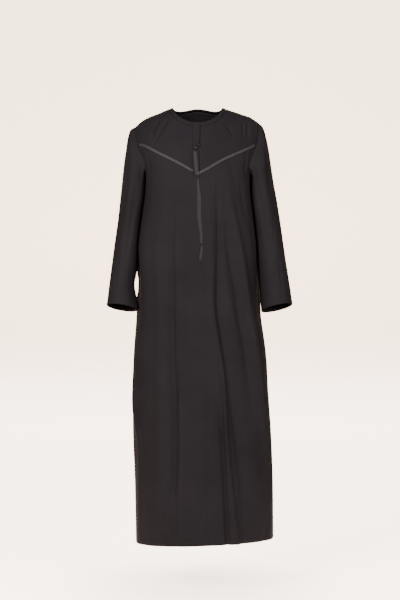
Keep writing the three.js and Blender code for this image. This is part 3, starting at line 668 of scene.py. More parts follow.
class Seams:
    """The sewing lines of the body, each a run of places at shares of the way along it."""

    def __init__(self, form: WornForm) -> None:
        """Keep the form.

        Args:
            form: the worn form that the lines lie on.
        """
        self.form = form

    def armhole(
        self, side: Side, start: float, end: float, at: np.ndarray, face: Face = Face.FRONT
    ) -> np.ndarray:
        """Follow an armhole between two of its knots.

        Args:
            side: left or right.
            start: the knot that it starts from, counted from the shoulder point.
            end: the knot that it ends at.
            at: shares of the way between them.
            face: the half of the armhole.

        Returns:
            The places.
        """
        top = SHOULDER_POINT_TURN
        knots = [(top, float(self.form.ridge(np.array(side.value * top))))] + list(ARMHOLE)
        turns = [side.value * turn if face is Face.FRONT else 180 - side.value * turn for turn, _ in knots]
        if face is Face.BACK and side is Side.RIGHT:
            turns = [180 + turn for turn, _ in knots]
        way = (start + (end - start) * at) / UNDERARM
        curve = spline([(turn * DEVELOPED, z) for turn, (_, z) in zip(turns, knots)], way)
        turn = curve[:, 0] / DEVELOPED
        return np.stack([turn, self.form.fall(turn, curve[:, 1])], -1)

    def shoulder(self, side: Side, face: Face, at: np.ndarray) -> np.ndarray:
        """Follow the shoulder seam from the shoulder point to the neckband.

        Args:
            side: left or right.
            face: the piece that is sewn there.
            at: shares of the way.

        Returns:
            The places.
        """
        across = SHOULDER_POINT_TURN + (NECK_TURN + NECKBAND_TURN - SHOULDER_POINT_TURN) * at
        turn = side.value * across if face is Face.FRONT else 180 - side.value * across
        return np.stack([turn, np.zeros(at.shape)], -1)

    def neck(self, side: Side, face: Face, angle: np.ndarray, margin: float | np.ndarray) -> np.ndarray:
        """Follow the neck line.

        Args:
            side: left or right.
            face: the half of the neck.
            angle: from 0 at the centre to a right angle at the shoulder line.
            margin: 0 at the edge and 1 at the neckband's seam.

        Returns:
            The places.
        """
        turn = side.value * (NECK_TURN + NECKBAND_TURN * margin) * np.sin(angle)
        reach = NECK_FALL[face] + NECKBAND_FALL * margin
        fall = reach * np.maximum(np.cos(angle), 0) ** NECK_ROUND
        return np.stack([180 - turn if face is Face.BACK else turn, fall + 0 * turn], -1)

    def front_neck(self, side: Side, margin: float, at: np.ndarray) -> np.ndarray:
        """Follow the front neck from the shoulder line to the slit.

        Args:
            side: left or right.
            margin: 0 at the edge and 1 at the neckband's seam.
            at: shares of the way.

        Returns:
            The places.
        """
        slit = math.degrees(SLIT_X / FORM.columns["right"][-1]) * side.value
        end = math.asin(slit / (NECK_TURN + NECKBAND_TURN * margin))
        return self.neck(side, Face.FRONT, np.pi / 2 + (end - np.pi / 2) * at, margin)

    def back_neck(self, margin: float, at: np.ndarray) -> np.ndarray:
        """Follow the back neck from the left to the right.

        Args:
            margin: 0 at the edge and 1 at the neckband's seam.
            at: shares of the way.

        Returns:
            The places.
        """
        angle = (1 - 2 * at) * np.pi / 2
        left = self.neck(Side.LEFT, Face.BACK, np.abs(angle), margin)
        right = self.neck(Side.RIGHT, Face.BACK, np.abs(angle), margin)
        return np.where((angle < 0)[:, None], right, left)

    def v_line(self, side: Side, at: np.ndarray) -> np.ndarray:
        """Follow the yoke's lower edge from the armhole to the tip of the V.

        Args:
            side: left or right.
            at: shares of the way.

        Returns:
            The places.
        """
        end = self.armhole(side, V_END, V_END, np.zeros(1))
        start = self.form.smooth(end[:, 0], end[:, 1])[0]
        curve = spline([(start[0], start[2]), *V_LINE[side], V_TIP], np.linspace(0, 1, 240))
        points = evenly(curve, at)
        return np.where((at < 1e-6)[:, None], end, self.form.front(points[:, 0], points[:, 1]))

    def hem(self, start: float, end: float, at: np.ndarray) -> np.ndarray:
        """Follow the hem.

        Args:
            start: turn that it starts from.
            end: turn that it ends at.
            at: shares of the way.

        Returns:
            The places.
        """
        turn = start + (end - start) * at
        return np.stack([turn, self.form.fall(turn, HEM_Z + HEM_TILT * np.sin(np.radians(turn)))], -1)

    def side(self, turn: float, at: np.ndarray) -> np.ndarray:
        """Follow a side seam from the hem to the underarm.

        Args:
            turn: the seam's turn.
            at: shares of the way.

        Returns:
            The places.
        """
        low = self.hem(turn, turn, np.zeros(1))[0]
        high = np.array([turn, float(self.form.fall(np.array(turn), np.array(UNDERARM_Z)))])
        return low + (high - low) * at[:, None]


def stages(at: np.ndarray, *parts: tuple[float, Callable[[np.ndarray], np.ndarray]]) -> np.ndarray:
    """Join runs of places into one.

    Args:
        at: shares of the whole.
        parts: each run's end as a share of the whole, and the run.

    Returns:
        The places of the whole.
    """
    result = np.zeros((len(at), 2))
    begin = 0.0
    for end, run in parts:
        here = (at >= begin - 1e-9) & (at <= end + 1e-9)
        if here.any():
            result[here] = run(np.clip((at[here] - begin) / (end - begin), 0, 1))
        begin = end
    return result


def filled(
    low: np.ndarray, high: np.ndarray, start: np.ndarray, end: np.ndarray, u: np.ndarray
) -> np.ndarray:
    """Fill four edges with places.

    Args:
        low: places along the lower edge, at shares u.
        high: places along the upper edge, at shares u.
        start: places up the first edge.
        end: places up the last edge.
        u: shares across.

    Returns:
        Rows and columns of places.
    """
    v = (start[:, 1] - start[0, 1]) / (start[-1, 1] - start[0, 1])
    across, up = u[None, :, None], v[:, None, None]
    rows = low[None] + (high - low)[None] * up
    columns = start[:, None] + (end - start)[:, None] * across
    below = low[0] + (low[-1] - low[0]) * across
    above = high[0] + (high[-1] - high[0]) * across
    return rows + columns - (below + (above - below) * up)


BESIDE_SEAM = (1.0, 2.2, 3.8)  # millimetres from a seam to the extra rows beside it


def shares(count: int, length: float, close: tuple[bool, bool] = (True, True)) -> np.ndarray:
    """Space shares evenly, with closer ones beside a seam.

    Args:
        count: number of even steps.
        length: length of the whole in millimetres.
        close: whether the start and the end lie on a seam.

    Returns:
        The shares, from 0 to 1.
    """
    even = np.linspace(0, 1, count + 1)
    near = np.array(BESIDE_SEAM) / length
    extra = np.concatenate([near if close[0] else [], 1 - near if close[1] else []])
    return np.unique(np.round(np.concatenate([even, extra]), 6))


# The finishes.


def linear(code: str) -> tuple[float, float, float, float]:
    """Turn an sRGB hex colour into a linear one.

    Args:
        code: six hex digits.

    Returns:
        Red, green, blue and alpha for a shader.
    """
    parts = [int(code[k : k + 2], 16) / 255 for k in (0, 2, 4)]
    return tuple(c / 12.92 if c <= 0.04045 else ((c + 0.055) / 1.055) ** 2.4 for c in parts) + (1.0,)


def feed(material: bpy.types.Material, node: bpy.types.Node, **inputs: object) -> None:
    """Set a node's inputs, or link other nodes' outputs to them.

    Args:
        material: the material that holds the node.
        node: the node.
        inputs: values or output sockets, by the input's name with _ for a blank, or its number after i.
    """
    for name, value in inputs.items():
        numbered = name[0] == "i" and name[1:].isdigit()
        socket = node.inputs[int(name[1:])] if numbered else node.inputs[name.replace("_", " ")]
        if isinstance(value, bpy.types.NodeSocket):
            material.node_tree.links.new(value, socket)
        else:
            socket.default_value = value


def add_node(
    material: bpy.types.Material, kind: str, settings: dict | None = None, **inputs: object
) -> bpy.types.Node:
    """Add a shader node, set it and link it.

    Args:
        material: the material that gets the node.
        kind: the node's Blender type, without ShaderNode.
        settings: attributes of the node.
        inputs: as for feed.

    Returns:
        The node.
    """
    made = material.node_tree.nodes.new(f"ShaderNode{kind}")
    for name, value in (settings or {}).items():
        setattr(made, name, value)
    feed(material, made, **inputs)
    return made


def start_material(name: str) -> tuple[bpy.types.Material, bpy.types.Node, bpy.types.Node]:
    """Start a material.

    Args:
        name: its name.

    Returns:
        The material, its Principled shader and its texture coordinates.
    """
    material = bpy.data.materials.new(name)
    material.use_nodes = True
    return material, material.node_tree.nodes["Principled BSDF"], add_node(material, "TexCoord")


def blend(
    material: bpy.types.Material, share: bpy.types.NodeSocket, first: str, second: str
) -> bpy.types.NodeSocket:
    """Blend two colours.

    Args:
        material: the material.
        share: how much of the second shows.
        first: sRGB hex colour.
        second: sRGB hex colour.

    Returns:
        The blended colour.
    """
    mix = add_node(material, "Mix", {"data_type": "RGBA"}, i0=share, i6=linear(first), i7=linear(second))
    return mix.outputs[2]


def calculate(material: bpy.types.Material, operation: str, **values: object) -> bpy.types.NodeSocket:
    """Calculate with sockets and numbers.

    Args:
        material: the material.
        operation: the Math node's operation.
        values: its inputs, i0 to i2.

    Returns:
        The result.
    """
    return add_node(material, "Math", {"operation": operation}, **values).outputs["Value"]


def ramp(
    material: bpy.types.Material,
    value: bpy.types.NodeSocket,
    settings: dict | None = None,
    **limits: float,
) -> bpy.types.NodeSocket:
    """Carry a value from one range over to another.

    Args:
        material: the material.
        value: the value.
        settings: attributes of the node.
        limits: From_Min, From_Max, To_Min and To_Max, where they aren't 0 and 1.

    Returns:
        The result.
    """
    return add_node(material, "MapRange", settings, Value=value, **limits).outputs["Result"]


def waves(
    material: bpy.types.Material,
    vector: bpy.types.NodeSocket,
    period: float,
    distortion: float = 0.0,
    direction: str = "X",
) -> bpy.types.NodeSocket:
    """Draw soft bands at a real spacing.

    Args:
        material: the material.
        vector: coordinates in metres.
        period: spacing in millimetres.
        distortion: how uneven the bands are.
        direction: the way across them.

    Returns:
        Their height.
    """
    settings = {"wave_type": "BANDS", "bands_direction": direction}
    scale = 2 * math.pi / (20 * period * METRE)
    made = add_node(material, "TexWave", settings, Vector=vector, Scale=scale, Distortion=distortion)
    return made.outputs["Fac"]


def bump(
    material: bpy.types.Material, height: bpy.types.NodeSocket, **inputs: object
) -> bpy.types.NodeSocket:
    """Roughen the surface.

    Args:
        material: the material.
        height: the relief.
        inputs: its Strength, its Distance in metres, and a Normal to start from.

    Returns:
        The normal.
    """
    return add_node(material, "Bump", Height=height, **inputs).outputs["Normal"]


@dataclass(frozen=True)
class WovenCloth:
    """Smooth fine twill: near-black, matt, with a soft bloom where it turns away."""

    name: str = "charcoal_twill"
    dark: str = "171415"
    light: str = "1b1819"
    bloom: str = "cfc4c4"
    roughness: float = 0.68
    sheen: float = 0.01
    twill: float = 0.7
    twill_slant: float = 63.0
    crumple: float = 22.0
    crumple_depth: float = 2.2

    def build(self) -> bpy.types.Material:
        """Make the material.

        Returns:
            The material.
        """
        material, shader, place = start_material(self.name)
        # Slow broad patches of painted sheen, and the yarn's faint streaks along the warp, both blended
        # into the colour.
        painted_sheen = add_node(material, "TexNoise", Vector=place.outputs["Object"], Scale=7.0, Detail=4.0)
        warp = add_node(material, "Mapping", Vector=place.outputs["UV"], Scale=(1400.0, 40.0, 1.0))
        streak = add_node(material, "TexNoise", Vector=warp.outputs["Vector"], Scale=1.0, Detail=2.0)
        both = calculate(
            material, "MULTIPLY_ADD", i0=streak.outputs["Fac"], i1=0.35, i2=painted_sheen.outputs["Fac"]
        )
        tone = ramp(material, both, From_Min=0.45, From_Max=0.9)
        # The twill's diagonal ribs, and small crumples stretched down the cloth.
        rotation = (0.0, 0.0, math.radians(self.twill_slant))
        slant = add_node(material, "Mapping", Vector=place.outputs["UV"], Rotation=rotation)
        ribs = waves(material, slant.outputs["Vector"], self.twill)
        pull = add_node(material, "Mapping", Vector=place.outputs["Object"], Scale=(1.0, 1.0, 0.3))
        scale = 1 / (self.crumple * METRE)
        crumple = add_node(material, "TexNoise", Vector=pull.outputs["Vector"], Scale=scale, Detail=3.0)
        depth = self.crumple_depth * METRE
        soft = bump(material, crumple.outputs["Fac"], Strength=0.22, Distance=depth)
        feed(
            material,
            shader,
            Base_Color=blend(material, tone, self.dark, self.light),
            Normal=bump(material, ribs, Strength=0.25, Distance=0.12 * METRE, Normal=soft),
            Roughness=self.roughness,
            Specular_IOR_Level=0.02,
            Sheen_Weight=self.sheen,
            Sheen_Roughness=0.4,
            Sheen_Tint=linear(self.bloom),
        )
        return material


@dataclass(frozen=True)
class WovenTape:
    """Narrow braid: a lighter grey with a slight lustre and dark flecks between its ribs."""

    name: str = "grey_braid"
    light: str = "2a2728"
    dark: str = "171516"
    fleck: float = 2.4
    yarn: float = 0.6
    lustre: float = 0.15

    def build(self) -> bpy.types.Material:
        """Make the material.

        Returns:
            The material.
        """
        material, shader, place = start_material(self.name)
        scale = 1 / (self.fleck * METRE)
        flecks = add_node(
            material, "TexVoronoi", Vector=place.outputs["UV"], Scale=scale, Randomness=0.6
        )
        tone = ramp(material, flecks.outputs["Distance"], From_Min=0.15, From_Max=0.75)
        yarn = waves(material, place.outputs["UV"], self.yarn, distortion=1.0)
        feed(
            material,
            shader,
            Base_Color=blend(material, tone, self.light, self.dark),
            Normal=bump(material, yarn, Strength=0.4, Distance=0.2 * METRE),
            Roughness=0.55,
            Specular_IOR_Level=self.lustre,
            Sheen_Weight=self.lustre / 3,
        )
        return material


@dataclass(frozen=True)
class SatinBall:
    """Black moulded button with a satin gloss and faint scuffs."""

    name: str = "black_button"
    base: str = "0d0c0c"

    def build(self) -> bpy.types.Material:
        """Make the material.

        Returns:
            The material.
        """
        material, shader, place = start_material(self.name)
        scuff = add_node(material, "TexNoise", Vector=place.outputs["Object"], Scale=900.0, Detail=3.0)
        feed(
            material,
            shader,
            Base_Color=linear(self.base),
            Roughness=ramp(material, scuff.outputs["Fac"], To_Min=0.4, To_Max=0.6),
            Specular_IOR_Level=0.2,
        )
        return material


@dataclass(frozen=True)
class SewingThread:
    """Spun thread, a shade darker and glossier than the cloth."""

    name: str = "black_thread"
    base: str = "151314"
    ply: float = 0.5

    def build(self) -> bpy.types.Material:
        """Make the material.

        Returns:
            The material.
        """
        material, shader, place = start_material(self.name)
        ply = waves(material, place.outputs["Object"], self.ply, direction="DIAGONAL")
        feed(
            material,
            shader,
            Base_Color=linear(self.base),
            Normal=bump(material, ply, Strength=0.3, Distance=0.1 * METRE),
            Roughness=0.6,
            Specular_IOR_Level=0.1,
        )
        return material


@dataclass(frozen=True)
class StudioPaper:
    """Pale seamless paper that glows in the middle with painted light: warmer on the wall, painted lighter
    and brighter on the floor.
    """

    name: str = "studio_paper"
    wall: str = "e8ceb7"
    floor: str = "eedbcd"
    wall_glow: float = 4.6
    floor_glow: float = 6.4
    shade: float = 0.6
    floor_z: float = -1.537

    def build(self) -> bpy.types.Material:
        """Make the material.

        Returns:
            The material.
        """
        material, shader, place = start_material(self.name)
        split = add_node(material, "SeparateXYZ", Vector=place.outputs["Object"])
        soft = {"interpolation_type": "SMOOTHSTEP"}
        # Painted light: the colour and the glow grade from the lighter floor up to the wall.
        tone = ramp(material, split.outputs["Z"], soft, From_Min=-1.54, From_Max=-0.84)
        colour = blend(material, tone, self.floor, self.wall)
        # The glow fades out to both sides and towards the front, so that it lights nothing there.
        reach = calculate(material, "ADD", i0=split.outputs["Y"], i1=5.0)
        aside = calculate(material, "ABSOLUTE", i0=split.outputs["X"])
        slope = calculate(material, "DIVIDE", i0=aside, i1=reach)
        middle = ramp(material, slope, From_Min=0.145, From_Max=0.2, To_Min=1.0, To_Max=0.0)
        behind = ramp(material, split.outputs["Y"], From_Min=-0.34, From_Max=-0.22)
        strength = ramp(material, tone, To_Min=self.floor_glow, To_Max=self.wall_glow)
        # A painted soft shadow on the floor under the hem, where the glow is dimmed.
        near = add_node(
            material,
            "Mapping",
            Vector=place.outputs["Object"],
            Location=(0.0, 0.0, -self.floor_z),
            Scale=(1.7, 1.5, 1.0),
        )
        radius = add_node(material, "VectorMath", {"operation": "LENGTH"}, i0=near.outputs["Vector"])
        glow = ramp(material, radius.outputs["Value"], soft, From_Min=0.1, To_Min=self.shade)
        for share in (middle, behind, strength):
            glow = calculate(material, "MULTIPLY", i0=glow, i1=share)
        # The paper's emission is painted light: the paper glows though it is no lamp.
        feed(
            material,
            shader,
            Base_Color=colour,
            Emission_Color=colour,
            Emission_Strength=glow,
            Roughness=0.9,
            Specular_IOR_Level=0.1,
        )
        return material


@dataclass
class Finishes:
    """The garment's materials, made once."""

    cloth: bpy.types.Material = field(default_factory=lambda: WovenCloth().build())
    tape: bpy.types.Material = field(default_factory=lambda: WovenTape().build())
    dull_tape: bpy.types.Material = field(
        default_factory=lambda: WovenTape(
            name="dull_braid", light="211e1f", dark="131112", lustre=0.1
        ).build()
    )
    button: bpy.types.Material = field(default_factory=lambda: SatinBall().build())
    thread: bpy.types.Material = field(default_factory=lambda: SewingThread().build())


def mesh_piece(
    name: str, bm: bmesh.types.BMesh, material: bpy.types.Material
) -> bpy.types.Object:
    """Turn a bmesh into a piece that rides on the garment.

    Args:
        name: the piece's name.
        bm: its faces, in metres; freed here.
        material: its finish.

    Returns:
        The piece.
    """
    mesh = bpy.data.meshes.new(name)
    bm.to_mesh(mesh)
    bm.free()
    mesh.materials.append(material)
    mesh.polygons.foreach_set("use_smooth", [True] * len(mesh.polygons))
    piece = bpy.data.objects.new(name, mesh)
    bpy.context.scene.collection.objects.link(piece)
    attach(piece, "root")
    return piece


def grid_mesh(points: np.ndarray, tube: bool = False) -> bmesh.types.BMesh:
    """Lay a fine grid of faces through rows and columns of points, with UVs in metres of cloth.

    Args:
        points: rows and columns of points in millimetres.
        tube: whether the last column meets the first.

    Returns:
        The faces, in metres.
    """
    rows, columns = points.shape[:2]
    across, down = travelled(points, 1), travelled(points, 0)
    across -= across[:, columns // 2 : columns // 2 + 1]
    bm = bmesh.new()
    bmesh.ops.create_grid(bm, x_segments=columns - 1, y_segments=rows - 1, size=0.5)
    uv = bm.loops.layers.uv.new("cloth")
    index = {}
    for vert in bm.verts:
        j = round((vert.co.x + 0.5) * (columns - 1))
        i = round((vert.co.y + 0.5) * (rows - 1))
        index[vert] = (i, j)
    for face in bm.faces:
        for loop in face.loops:
            i, j = index[loop.vert]
            loop[uv].uv = (across[i, j] * METRE, down[i, j] * METRE)
    for vert, (i, j) in index.items():
        vert.co = points[i, j] * METRE
    if tube:
        bmesh.ops.remove_doubles(bm, verts=bm.verts, dist=1e-6)
    bmesh.ops.recalc_face_normals(bm, faces=bm.faces)
    return bm


def face_outwards(bm: bmesh.types.BMesh, probe: np.ndarray, outward: np.ndarray) -> None:
    """Turn the faces so that the one nearest a point faces a given way.

    Args:
        bm: the faces.
        probe: a point on the sheet, in millimetres.
        outward: the way that the sheet faces there.
    """
    at = Vector(probe * METRE)
    face = min(bm.faces, key=lambda f: (f.calc_center_median() - at).length_squared)
    if face.normal.dot(Vector(outward)) < 0:
        bmesh.ops.reverse_faces(bm, faces=bm.faces)


def add_wall(piece: bpy.types.Object, thickness: float) -> None:
    """Give a sheet its thickness, on its inner side.

    Args:
        piece: the sheet.
        thickness: in millimetres.
    """
    wall = piece.modifiers.new("wall", "SOLIDIFY")
    wall.thickness = thickness * METRE
    wall.offset = -1.0
    wall.use_rim = True


def ripple(at: np.ndarray, seed: int, period: float) -> np.ndarray:
    """Give an uneven ripple, the same each run.

    Args:
        at: distance along a seam in millimetres.
        seed: picks the ripple.
        period: rough spacing of its waves in millimetres.

    Returns:
        Its height, about between -1 and 1.
    """
    rng = np.random.default_rng(seed)
    total = np.zeros(at.shape)
    for share in (1.0, 0.62, 0.41):
        total += np.sin(at * 2 * np.pi / (period * share) + rng.uniform(0, 2 * np.pi)) * share
    return total / 2


@dataclass(frozen=True)
class SeamShape:
    """How cloth dips, swells and puckers beside a seam, in millimetres."""

    dip: float = 0.7
    dip_reach: float = 2.0
    swell: float = 0.3
    swell_at: float = 4.5
    swell_reach: float = 2.2
    pucker: float = 0.35
    pucker_period: float = 17.0
    pucker_reach: float = 9.0

    def swelling(self, gap: np.ndarray) -> np.ndarray:
        """Give the low swelling that runs along the seam.

        Args:
            gap: distance from the seam.

        Returns:
            Its height.
        """
        return self.swell * np.exp(-(((gap - self.swell_at) / self.swell_reach) ** 2)) * (1 - np.exp(-gap))

    def rise(self, gap: np.ndarray, along: np.ndarray, clear: np.ndarray, seed: int) -> np.ndarray:
        """Give the whole relief beside the seam.

        Args:
            gap: distance from the seam.
            along: distance along the seam.
            clear: 0 at an armhole, where the dip is left out, and 1 away from it.
            seed: picks the puckers.

        Returns:
            How far the cloth stands out.
        """
        dip = self.dip * clear * np.exp(-((gap / self.dip_reach) ** 2))
        fades = np.exp(-gap / self.pucker_reach) * (1 - np.exp(-gap / 2))
        return self.swelling(gap) - dip + self.pucker * ripple(along, seed, self.pucker_period) * fades


CLOTH_THICK = 1.0
CLEAR_OF_ARMHOLE = 3.0
HEM_INSIDE = (2.05, 2.1, 2.15, 2.2)  # how far the turned layer lies inside, from its fold to its raw end
FOLD_INSIDE, FOLD_DROP = 1.05, 0.9
HEM_DEPTH, CUFF_DEPTH = 16.0, 15.0


def turned_hem(points: np.ndarray, normals: np.ndarray, picks: Sequence[tuple[int, float]]) -> np.ndarray:
    """Lay the turned layer of a hem.

    Args:
        points: the cloth's rows of points.
        normals: its outward normals.
        picks: each row that the layer follows, and how far inside it lies, from the edge on.

    Returns:
        Rows of points, from the fold to the raw end.
    """
    edge = picks[0][0]
    fold = points[edge] - normals[edge] * FOLD_INSIDE
    fold[:, 2] -= FOLD_DROP
    return np.stack([fold] + [points[k] - normals[k] * inside for k, inside in picks])


@dataclass
class ClothPanel:
    """One cut panel of the body, sewn along some of its edges and turned up at its hem."""

    form: WornForm
    finishes: Finishes
    node: str
    places: np.ndarray
    sewn: tuple[Edge, ...]
    flat: tuple[float, float]
    area: float
    seed: int
    below_armhole: np.ndarray
    hem: bool = False
    seam: SeamShape = SeamShape()

    @staticmethod
    def _distances(points: np.ndarray) -> dict[Edge, np.ndarray]:
        """Measure how far each point lies from each edge.

        Args:
            points: rows and columns of points.

        Returns:
            The distances, for each edge.
        """
        across, up = travelled(points, 1), travelled(points, 0)
        return {
            Edge.START: across,
            Edge.END: across[:, -1:] - across,
            Edge.LOW: up,
            Edge.HIGH: up[-1:] - up,
        }

    def build(self) -> bpy.types.Object:
        """Make the panel.

        Returns:
            The panel, which replaces its node.
        """
        base = self.form.cloth(self.places)
        away = self._distances(base)
        nearest = np.minimum(away[Edge.START], away[Edge.END])
        armhole = np.where(self.below_armhole[:, None], np.inf, nearest)
        clear = 1 - np.exp(-((armhole / CLEAR_OF_ARMHOLE) ** 2))
        lift = np.zeros(base.shape[:2])
        for number, edge in enumerate(self.sewn):
            along = away[Edge.LOW] if edge in (Edge.START, Edge.END) else away[Edge.START]
            lift += self.seam.rise(away[edge], along, clear, self.seed + number)
        normals = self.form.normal(self.places[..., 0], self.places[..., 1])
        points = base + normals * lift[..., None]
        if self.hem:
            points = np.concatenate([self._turn_up(points, normals), points])
        bm = grid_mesh(points)
        row, column = points.shape[0] // 2, points.shape[1] // 2
        face_outwards(bm, points[row, column], normals[row - (len(points) - len(normals)), column])
        piece = mesh_piece(f"{self.node}_cloth", bm, self.finishes.cloth)
        add_wall(piece, CLOTH_THICK)
        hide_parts(self.node)
        log.info("%s: %d rows by %d columns", self.node, *points.shape[:2])
        return piece

    @staticmethod
    def _turn_up(points: np.ndarray, normals: np.ndarray) -> np.ndarray:
        """Carry the hem over its fold and up the inside.

        Args:
            points: the panel's points, from the hem up.
            normals: its outward normals.

        Returns:
            Rows of points from the hem's raw end down to the fold.
        """
        up = np.linalg.norm(np.diff(points, axis=0), axis=2).mean(1).cumsum()
        row = int(np.searchsorted(up, HEM_DEPTH))
        picks = zip((0, 1, row // 2 + 1, row + 1), HEM_INSIDE)
        return turned_hem(points, normals, list(picks))[::-1]


@dataclass
class Maker:
    """Makes pieces from the worn form, its sewing lines and the materials."""

    form: WornForm
    seams: Seams
    finishes: Finishes


class BodyCloth(Maker):
    """The two yokes, the lower front and the back."""

    def yoke(self, side: Side) -> bpy.types.Object:
        """Make one front yoke.

        Args:
            side: left or right.

        Returns:
            The yoke.
        """
        u, v = shares(130, 240), shares(54, 130)
        s = self.seams
        high = stages(
            u,
            (SHOULDER_SHARE, lambda t: s.shoulder(side, Face.FRONT, t)),
            (1.0, lambda t: s.front_neck(side, 1, t)),
        )
        low = s.v_line(side, u)
        start = s.armhole(side, V_END, 0, v)
        end = low[-1] + (high[-1] - low[-1]) * v[:, None]
        return ClothPanel(
            self.form,
            self.finishes,
            node=f"front_yoke_{side.label}",
            places=filled(low, high, start, end, u),
            sewn=(Edge.LOW, Edge.HIGH, Edge.START),
            flat=(0.24, 0.21),
            area=0.0335,
            seed=10 + side.value,
            below_armhole=np.zeros(len(v), bool),
        ).build()

    def _side_edge(self, side: Side, turn: float, face: Face, top: float, v: np.ndarray) -> np.ndarray:
        """Follow a side seam and then the armhole.

        Args:
            side: left or right.
            turn: the side seam's turn.
            face: the half of the armhole.
            top: the armhole's knot that the edge ends at.
            v: shares of the way up.

        Returns:
            The places.
        """
        return stages(
            v,
            (SKIRT_SHARE[face], lambda t: self.seams.side(turn, t)),
            (1.0, lambda t: self.seams.armhole(side, UNDERARM, top, t, face)),
        )

    def lower_front(self) -> bpy.types.Object:
        """Make the lower front.

        Returns:
            The panel.
        """
        u, v = shares(200, 560), shares(176, 1230, (False, True))
        high = stages(
            u,
            (0.5, lambda t: self.seams.v_line(Side.RIGHT, t)),
            (1.0, lambda t: self.seams.v_line(Side.LEFT, 1 - t)),
        )
        start = self._side_edge(Side.RIGHT, -90.0, Face.FRONT, V_END, v)
        end = self._side_edge(Side.LEFT, 90.0, Face.FRONT, V_END, v)
        return ClothPanel(
            self.form,
            self.finishes,
            node="lower_front",
            places=filled(self.seams.hem(-90, 90, u), high, start, end, u),
            sewn=(Edge.HIGH, Edge.START, Edge.END),
            flat=(0.62, 1.29),
            area=0.72,
            seed=20,
            below_armhole=v < SKIRT_SHARE[Face.FRONT],
            hem=True,
        ).build()

    def back(self) -> bpy.types.Object:
        """Make the back.

        Returns:
            The panel.
        """
        u, v = shares(190, 580), shares(190, 1330, (False, True))
        high = stages(
            u,
            (BACK_SHOULDER_SHARE, lambda t: self.seams.shoulder(Side.LEFT, Face.BACK, t)),
            (1 - BACK_SHOULDER_SHARE, lambda t: self.seams.back_neck(1, t)),
            (1.0, lambda t: self.seams.shoulder(Side.RIGHT, Face.BACK, 1 - t)),
        )
        start = self._side_edge(Side.LEFT, 90.0, Face.BACK, 0, v)
        end = self._side_edge(Side.RIGHT, 270.0, Face.BACK, 0, v)
        return ClothPanel(
            self.form,
            self.finishes,
            node="back",
            places=filled(self.seams.hem(90, 270, u), high, start, end, u),
            sewn=(Edge.HIGH, Edge.START, Edge.END),
            flat=(0.62, 1.41),
            area=0.78,
            seed=30,
            below_armhole=v < SKIRT_SHARE[Face.BACK],
            hem=True,
        ).build()


SLEEVE = {
    Side.RIGHT: Table(
        "way outer outer_z inner inner_z depth y lift",
        (
            (0, 203, -43.5, 166, -196, 66, 0, 0),
            (0.06, 219, -53, 168, -202, 68, 1, 0),
            (0.12, 228, -80, 167, -210, 71, 2, 0),
            (0.2, 234, -117, 166, -224, 74, 4, 0),
            (0.3, 241, -163, 165.5, -250, 75, 6, 0),
            (0.4, 247, -222, 167, -286, 74, 8, 0),
            (0.5, 253, -287, 174, -330, 72, 8, 0.02),
            (0.6, 259, -350, 181, -378, 69, 5, 0.06),
            (0.7, 268, -417, 187.5, -434, 66, -2, 0.1),
            (0.8, 277, -485, 195.5, -499, 62, -12, 0.14),
            (0.9, 286, -553, 206.5, -567, 59, -23, 0.18),
            (1, 295, -621, 196.5, -636, 56, -34, 0.2),
        ),
    ),
    Side.LEFT: Table(
        "way outer outer_z inner inner_z depth y lift",
        (
            (0, 195.5, -30, 164, -196, 66, 0, 0),
            (0.06, 211, -45, 168, -202, 68, 1, 0),
            (0.12, 221, -76, 169, -210, 71, 2, 0),
            (0.2, 230, -117, 169, -224, 74, 4, 0),
            (0.3, 237, -163, 168, -250, 75, 6, 0),
            (0.4, 246, -222, 168, -286, 74, 8, 0),
            (0.5, 257, -287, 172, -330, 72, 8, 0.02),
            (0.6, 266, -350, 179, -378, 69, 5, 0.06),
            (0.7, 275, -417, 185, -434, 66, -2, 0.1),
            (0.8, 285, -485, 192, -499, 62, -12, 0.14),
            (0.9, 296, -553, 198, -569, 59, -23, 0.18),
            (1, 305.5, -618, 204, -640, 56, -34, 0.2),
        ),
    ),
}
SLEEVE_SETTLES = 0.3
SLEEVE_FOLDS_START = 0.08
SLEEVE_LENGTH = 600.0
SLEEVE_STEPS = {"yoke": 30, "front": 42, "back": 71}
SLEEVE_SEAM = SeamShape(swell=0.5)
UNDER_SEAM_ANGLE = 183.0
UNDER_SEAM_DEEP, UNDER_SEAM_REACH = 0.5, 1.6
PRESSED_IN, PRESSED_REACH = 0.5, 1.2  # the armhole's edge, pressed into the body

